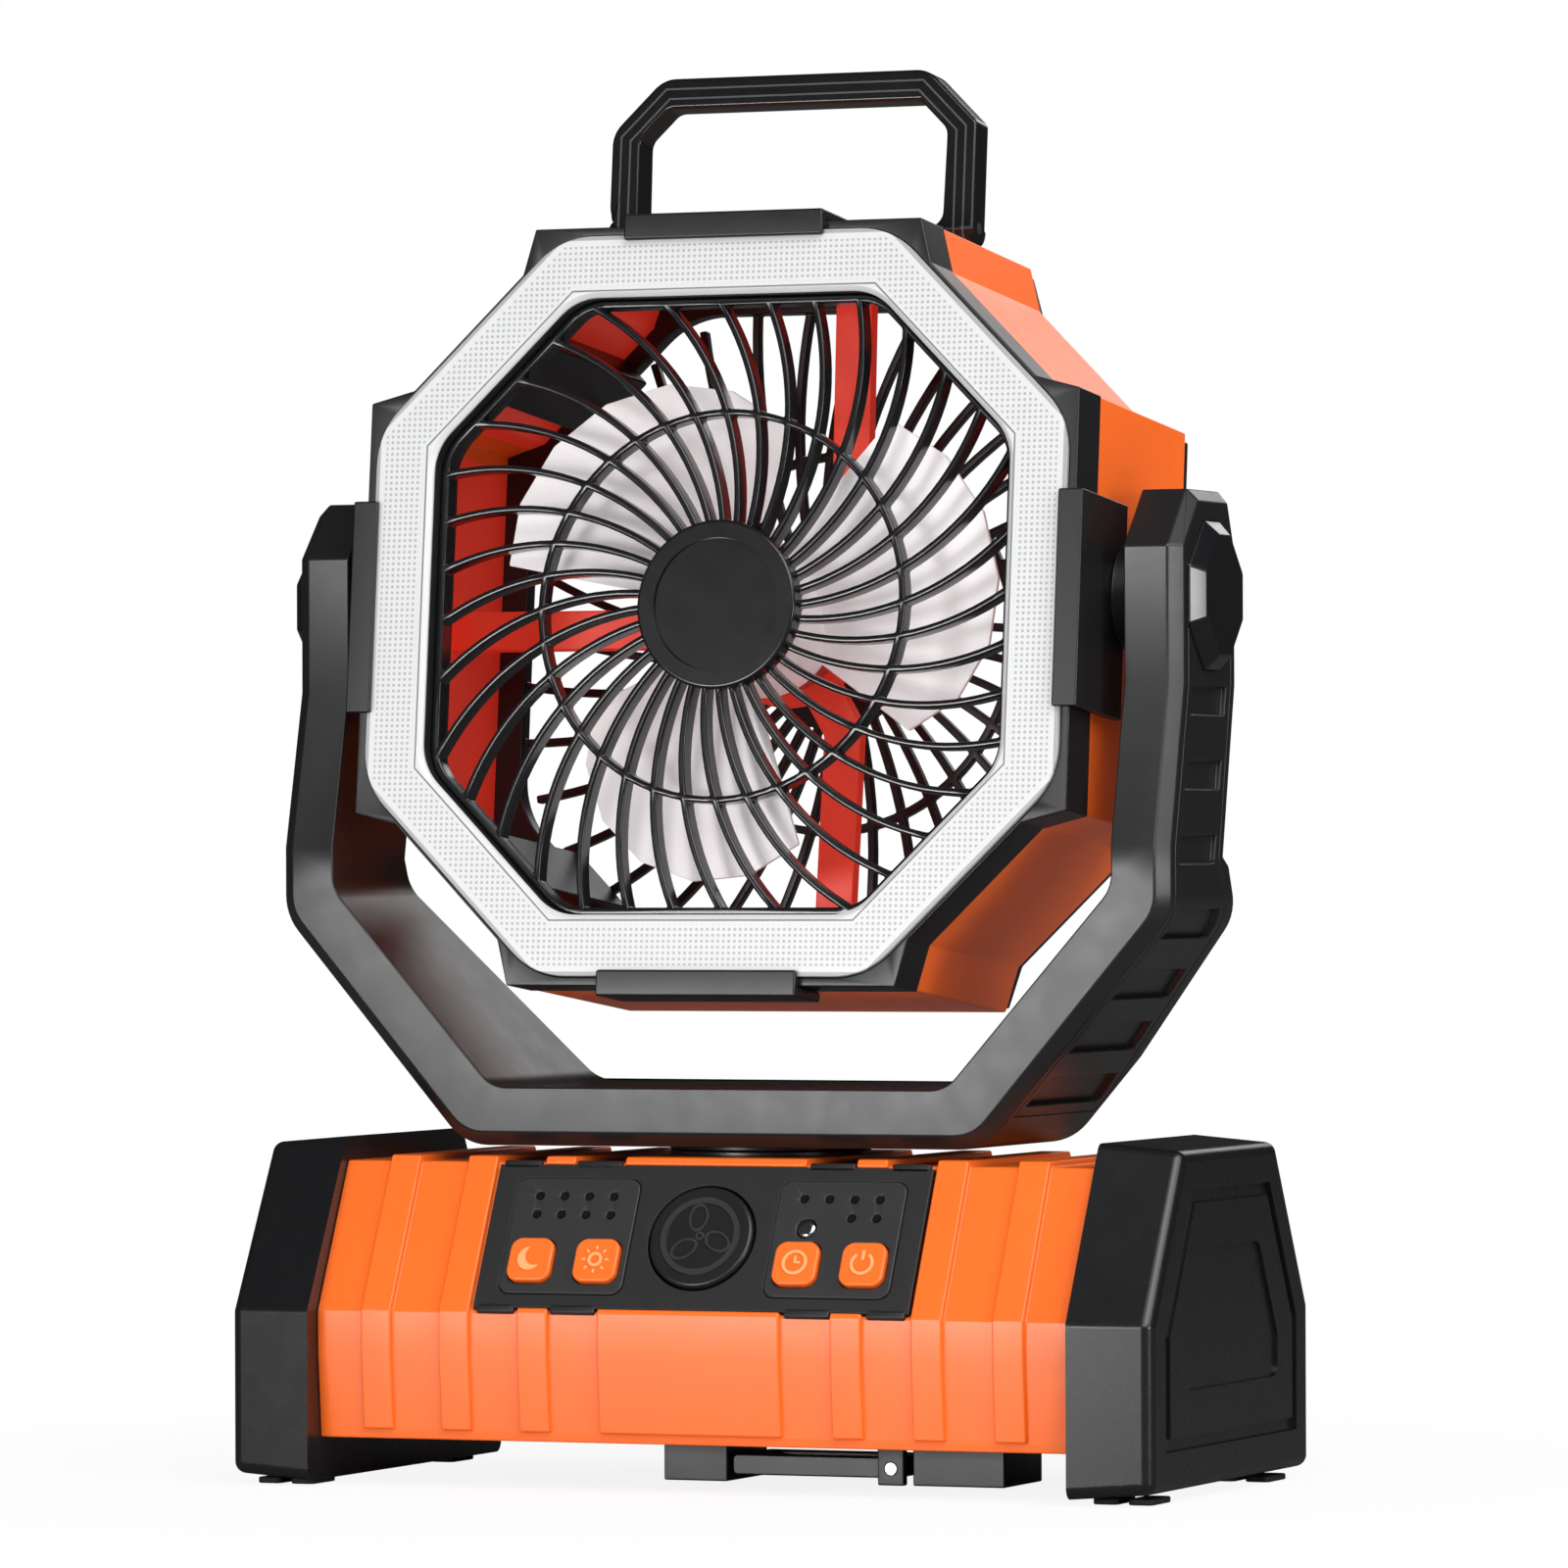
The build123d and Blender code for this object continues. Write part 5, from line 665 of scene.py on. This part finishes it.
def edit(piece):
    """Make a piece the only selected one and the active one."""
    deselect_all()
    piece.select_set(True)
    bpy.context.view_layer.objects.active = piece


def apply_modifier(piece, kind, **settings):
    """Add a modifier with its settings and apply it."""
    modifier = piece.modifiers.new(kind.lower(), kind)
    for name, value in settings.items():
        setattr(modifier, name, value)
    edit(piece)
    bpy.ops.object.modifier_apply(modifier=modifier.name)


def refill_wide_faces(mesh):
    """Fill faces of many corners again with triangles, which a bevel may have folded over."""
    wide = [face for face in mesh.faces if len(face.verts) > WIDE_CORNERS]
    for face in wide:
        rim = list(face.edges)
        normal = face.normal.copy()
        bmesh.ops.delete(mesh, geom=[face], context="FACES_ONLY")
        bmesh.ops.triangle_fill(mesh, use_beauty=True, use_dissolve=False, edges=rim, normal=normal)


def plain_copy(node_name):
    """A copy of a node with its own mesh and none of the node's marks."""
    piece = nodes[node_name].copy()
    piece.data = piece.data.copy()
    piece.name = f"{node_name}_skin"
    piece.parent = None
    piece.matrix_world = Matrix.Identity(4)
    for key in list(piece.keys()):
        del piece[key]
    bpy.context.scene.collection.objects.link(piece)
    return piece


def weigh_edges(mesh, chosen):
    """Merge corners, join flat faces, and give each sharp edge, if chosen by its place, full weight."""
    bmesh.ops.remove_doubles(mesh, verts=mesh.verts, dist=MERGE_REACH * MM)
    bmesh.ops.dissolve_limit(
        mesh,
        angle_limit=radians(FLAT_TURN),
        use_dissolve_boundaries=False,
        verts=mesh.verts,
        edges=[edge for edge in mesh.edges if edge.is_manifold],
    )
    weight = mesh.edges.layers.float.new("bevel_weight_edge")
    for edge in mesh.edges:
        turn = edge.calc_face_angle(0)
        middle = (edge.verts[0].co + edge.verts[1].co) / 2
        if turn > radians(BEVEL_TURN) and (chosen is None or chosen(middle)):
            edge[weight] = 1.0


def rounded_copy(node_name, width, refill=False, miter="MITER_SHARP", chosen=None):
    """A copy of a node with its sharp edges rounded, or those chosen by place, which stands for it."""
    piece = plain_copy(node_name)
    mesh = bmesh.new()
    mesh.from_mesh(piece.data)
    weigh_edges(mesh, chosen)
    mesh.to_mesh(piece.data)
    mesh.free()
    apply_modifier(
        piece,
        "BEVEL",
        width=width * MM,
        segments=2,
        limit_method="WEIGHT",
        use_clamp_overlap=False,
        miter_outer=miter,
    )
    if refill:
        mesh = bmesh.new()
        mesh.from_mesh(piece.data)
        refill_wide_faces(mesh)
        mesh.to_mesh(piece.data)
        mesh.free()
    edit(piece)
    bpy.ops.object.shade_smooth_by_angle(angle=radians(SMOOTH_TURN))
    apply_modifier(piece, "WEIGHTED_NORMAL", keep_sharp=True)
    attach(piece, nodes[node_name]["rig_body"])
    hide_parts(node_name)
    return piece


soft_edges = {  # width of each node's bevels in mm
    "base_shell": 0.45,
    "foot_pads": 0.3,
    "bottom_cover": 0.3,
    "yoke_frame": 0.5,
    "yoke_skin_left": 0.35,
    "yoke_skin_right": 0.35,
    "pivot_cover_left": 0.5,
    "pivot_cover_right": 0.5,
    "front_frame": 0.35,
    "lamp_lens": 0.3,
    "lens_clip_top": 0.6,
    "lens_clip_bottom": 0.6,
    "pivot_block_left": 0.5,
    "pivot_block_right": 0.5,
    "rear_shell": 0.35,
    "front_grille": 0.5,
    "back_grille": 0.4,
    "corner_posts": 0.6,
    "motor_spider": 0.5,
    "fan_rotor": 0.25,
    "handle": 0.9,
    "control_panel": 0.25,
    "indicator_plates": 0.25,
    "turntable_ring": 0.2,
    "turntable_disc": 0.2,
    "hook_bracket": 0.4,
    "hanging_hook": 0.4,
    "button_night": 0.35,
    "button_lamp": 0.35,
    "button_timer": 0.35,
    "button_power": 0.35,
    "button_fan": 0.4,
}
wide_faced = (
    "base_shell",
    "control_panel",
    "indicator_plates",
    "front_frame",
    "front_grille",
    "back_grille",
    "yoke_frame",
    "yoke_skin_left",
    "yoke_skin_right",
    "rear_shell",
)
FORK_TOP = 104.0  # height on the head's face above the fork of the handle's legs
chosen_edges = {
    "handle": lambda place: (place - head_face.origin).dot(head_face.up) > FORK_TOP * MM,
}
for node_name, width in soft_edges.items():
    skin = rounded_copy(
        node_name,
        width,
        refill=node_name in wide_faced,
        miter="MITER_ARC" if node_name == "base_shell" else "MITER_SHARP",
        chosen=chosen_edges.get(node_name),
    )
    print(node_name, len(skin.data.polygons), "faces")


# %% [markdown]
# ## Raised marks on the keys
# The four square keys carry plain raised marks: a moon for the night setting, a sun for the lamp, a
# clock for the timer and a bar in a ring for power. On the fan key a raised ring frames the outline
# of three blades. Each mark stands on its key and rides with it, in a paler tone.
#
# A ring or an arc is spun from a small upright rectangle. A bar is a scaled box with a small bevel,
# and a disc is a circle that is filled and extruded. All are drawn flat in the middle of the scene,
# in millimetres, and are then carried to the key's top face.

# %% Helpers for marks
MARK_HEIGHT = 0.35
MARK_SINK = 0.15  # how far a mark is sunk into its key
MARK_FULL = MARK_HEIGHT + MARK_SINK
LINE = 0.75  # width of a mark's lines
THIN_LINE = 0.6
MARK_SMOOTH_TURN = 30.0
BAR_BEVEL = 0.12
DISC_CORNERS = 40


def key_matrix(node_name):
    """Plane on top of a key, its origin at the key's middle, sunk by the mark's sink."""
    offsets = [vertex.co - panel_face.origin for vertex in nodes[node_name].data.vertices]
    rights = [offset.dot(panel_face.right) / MM for offset in offsets]
    ups = [offset.dot(panel_face.up) / MM for offset in offsets]
    reach = max(offset.dot(panel_face.out) for offset in offsets) / MM
    return panel_face.matrix((min(rights) + max(rights)) / 2, (min(ups) + max(ups)) / 2, reach - MARK_SINK)


def keep_piece(piece, name, node_name, finish, matrix=None):
    """Name a finished piece, put its place into its mesh, and let it ride with its node."""
    edit(piece)
    bpy.ops.object.mode_set(mode="EDIT")
    bpy.ops.mesh.select_all(action="SELECT")
    bpy.ops.mesh.normals_make_consistent(inside=False)
    bpy.ops.object.mode_set(mode="OBJECT")
    piece.data.transform((matrix or key_matrix(node_name)) @ piece.matrix_world)
    piece.matrix_world = Matrix.Identity(4)
    bpy.ops.object.shade_smooth_by_angle(angle=radians(MARK_SMOOTH_TURN))
    piece.name = name
    piece.data.materials.clear()
    piece.data.materials.append(finish)
    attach(piece, nodes[node_name]["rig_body"])


def drop_inner_walls(piece):
    """Remove the start face of a full turn, which lies inside the closed ring."""
    mesh = bmesh.new()
    mesh.from_mesh(piece.data)
    inner = [face for face in mesh.faces if all(len(edge.link_faces) > 2 for edge in face.edges)]
    bmesh.ops.delete(mesh, geom=inner, context="FACES_ONLY")
    mesh.to_mesh(piece.data)
    mesh.free()


def arc_line(radius, sweep, start=0.0, steps=28, width=LINE):
    """A raised line along a part of a circle, spun from a small plane, in millimetres and degrees."""
    deselect_all()
    middle = Vector((radius * cos(radians(start)), radius * sin(radians(start)), MARK_FULL / 2))
    upright = (radians(90), 0, radians(start))
    bpy.ops.mesh.primitive_plane_add(size=MM, location=middle * MM, rotation=upright)
    line = bpy.context.object
    line.scale = (width, MARK_FULL, 1)
    bpy.ops.object.transform_apply(location=True, rotation=True, scale=True)
    bpy.ops.object.mode_set(mode="EDIT")
    bpy.ops.mesh.select_all(action="SELECT")
    bpy.ops.mesh.spin(steps=steps, angle=radians(sweep), center=(0, 0, 0), axis=(0, 0, 1))
    bpy.ops.mesh.select_all(action="SELECT")
    bpy.ops.mesh.remove_doubles(threshold=0.001 * MM)
    bpy.ops.object.mode_set(mode="OBJECT")
    if sweep >= 360:
        drop_inner_walls(line)
    return line


def bar_line(x, y, length, turn, width=LINE):
    """A raised straight line with softened edges, by its middle, length and turn."""
    deselect_all()
    middle = Vector((x, y, MARK_FULL / 2))
    bpy.ops.mesh.primitive_cube_add(size=MM, location=middle * MM, rotation=(0, 0, radians(turn)))
    bar = bpy.context.object
    bar.scale = (length, width, MARK_FULL)
    bpy.ops.object.transform_apply(location=True, rotation=True, scale=True)
    apply_modifier(bar, "BEVEL", width=BAR_BEVEL * MM, segments=2)
    return bar


def disc(radius, x=0.0, y=0.0, height=MARK_FULL):
    """A raised disc."""
    deselect_all()
    bpy.ops.mesh.primitive_circle_add(
        vertices=DISC_CORNERS, radius=radius * MM, fill_type="NGON", location=(x * MM, y * MM, 0)
    )
    plate = bpy.context.object
    bpy.ops.object.transform_apply(location=True, rotation=True, scale=True)
    bpy.ops.object.mode_set(mode="EDIT")
    bpy.ops.mesh.select_all(action="SELECT")
    bpy.ops.mesh.extrude_region_move(TRANSFORM_OT_translate={"value": (0, 0, height * MM)})
    bpy.ops.mesh.select_all(action="SELECT")
    bpy.ops.mesh.normals_make_consistent(inside=False)
    bpy.ops.object.mode_set(mode="OBJECT")
    return plate


def join(pieces):
    """Join several lines into one mark."""
    deselect_all()
    for piece in pieces:
        piece.select_set(True)
    bpy.context.view_layer.objects.active = pieces[0]
    bpy.ops.object.join()
    return pieces[0]


print("mark height", MARK_HEIGHT, "mm")

# %% Moon and sun marks
MOON_RADIUS = 3.1
BITE_RADIUS = 2.7  # the disc that is cut out of the moon
BITE_PLACE = (1.5, 0.9)
SUN_RADIUS = 1.55
RAYS = 8
RAY_LENGTH = 1.1
RAY_REACH = 3.1  # distance of a ray's middle from the sun's middle
moon = disc(MOON_RADIUS)
bite = disc(BITE_RADIUS, *BITE_PLACE, height=3 * MARK_HEIGHT)
bite.data.transform(Matrix.Translation((0, 0, -MARK_HEIGHT * MM)))
apply_modifier(moon, "BOOLEAN", operation="DIFFERENCE", object=bite)
bpy.data.objects.remove(bite)
keep_piece(moon, "mark_moon", "button_night", mark_orange)

sun_lines = [arc_line(SUN_RADIUS, 360)]
for ray in range(RAYS):
    turn = 360 / RAYS * ray
    ray_x = RAY_REACH * cos(radians(turn))
    ray_y = RAY_REACH * sin(radians(turn))
    sun_lines.append(bar_line(ray_x, ray_y, RAY_LENGTH, turn, width=THIN_LINE))
keep_piece(join(sun_lines), "mark_sun", "button_lamp", mark_orange)
print("sun rays", RAYS)

# %% Clock and power marks
CLOCK_RADIUS = 2.9
POWER_RADIUS = 2.7
POWER_SWEEP = 290  # the ring is open at the top, where the bar stands
POWER_START = 55
clock_lines = [arc_line(CLOCK_RADIUS, 360, steps=36)]
clock_lines.append(bar_line(0, 0.8, 2.0, 90, width=THIN_LINE))
clock_lines.append(bar_line(0.65, 0, 1.6, 0, width=THIN_LINE))
keep_piece(join(clock_lines), "mark_clock", "button_timer", mark_orange)

power_lines = [arc_line(POWER_RADIUS, POWER_SWEEP, start=POWER_START), bar_line(0, 2.2, 2.6, 90)]
keep_piece(join(power_lines), "mark_power", "button_power", mark_orange)
print("clock and power marks made")

# %% [markdown]
# The fan mark is three loops round a small hub. A loop is a ring squeezed to an oval, moved
# outwards and a little sideways, and turned to its place. The three are made the same way, each with
# its own mesh.

# %% Fan mark
FRAME_RADIUS = 9.6
FRAME_WIDTH = 1.5
LOOP_RADIUS = 3.4
LOOP_WIDTH = 0.8
LOOP_SQUEEZE = 0.66
LOOP_PLACE = (4.9, 1.2)
HUB_RADIUS = 0.9
fan_lines = [arc_line(FRAME_RADIUS, 360, steps=64, width=FRAME_WIDTH)]
for blade in range(3):
    loop = arc_line(LOOP_RADIUS, 360, steps=32, width=LOOP_WIDTH)
    loop.data.transform(Matrix.Scale(LOOP_SQUEEZE, 4, (0, 1, 0)))
    loop.data.transform(Matrix.Translation((LOOP_PLACE[0] * MM, LOOP_PLACE[1] * MM, 0)))
    loop.data.transform(Matrix.Rotation(radians(90 + 120 * blade), 4, "Z"))
    fan_lines.append(loop)
fan_lines.append(arc_line(HUB_RADIUS, 360, steps=20, width=THIN_LINE))
keep_piece(join(fan_lines), "mark_fan", "button_fan", plate_black)

# %% [markdown]
# ## Tabs of the control panel
# The panel's lip closes the gaps between the ribs, above and below it, with small black tabs. They
# are short strips with softened edges that stand on the slope and end flush with the panel.

# %% Panel tabs
TAB_HEIGHT = 2.6
TAB_THICK = 2.0
TAB_BEVEL = 0.5
RIB_GAPS = ((31.0, 12.0), (51.6, 10.0))  # middle and width of the gaps between the ribs
panel_points = [vertex.co - panel_face.origin for vertex in nodes["control_panel"].data.vertices]
panel_ups = [point.dot(panel_face.up) / MM for point in panel_points]
panel_reach = max(point.dot(panel_face.out) for point in panel_points) / MM
panel_tabs = []
for edge_up in (min(panel_ups), max(panel_ups)):
    for gap_x, gap_width in RIB_GAPS:
        for side in (-1, 1):
            deselect_all()
            bpy.ops.mesh.primitive_cube_add(size=MM)
            tab = bpy.context.object
            tab.scale = (gap_width, TAB_HEIGHT, TAB_THICK)
            bpy.ops.object.transform_apply(location=True, rotation=True, scale=True)
            apply_modifier(tab, "BEVEL", width=TAB_BEVEL * MM, segments=3)
            tab.data.transform(panel_face.matrix(side * gap_x, edge_up, panel_reach - TAB_THICK / 2))
            panel_tabs.append(tab)
keep_piece(join(panel_tabs), "panel_tabs", "control_panel", panel_black, Matrix.Identity(4))
print("tabs", len(panel_tabs))
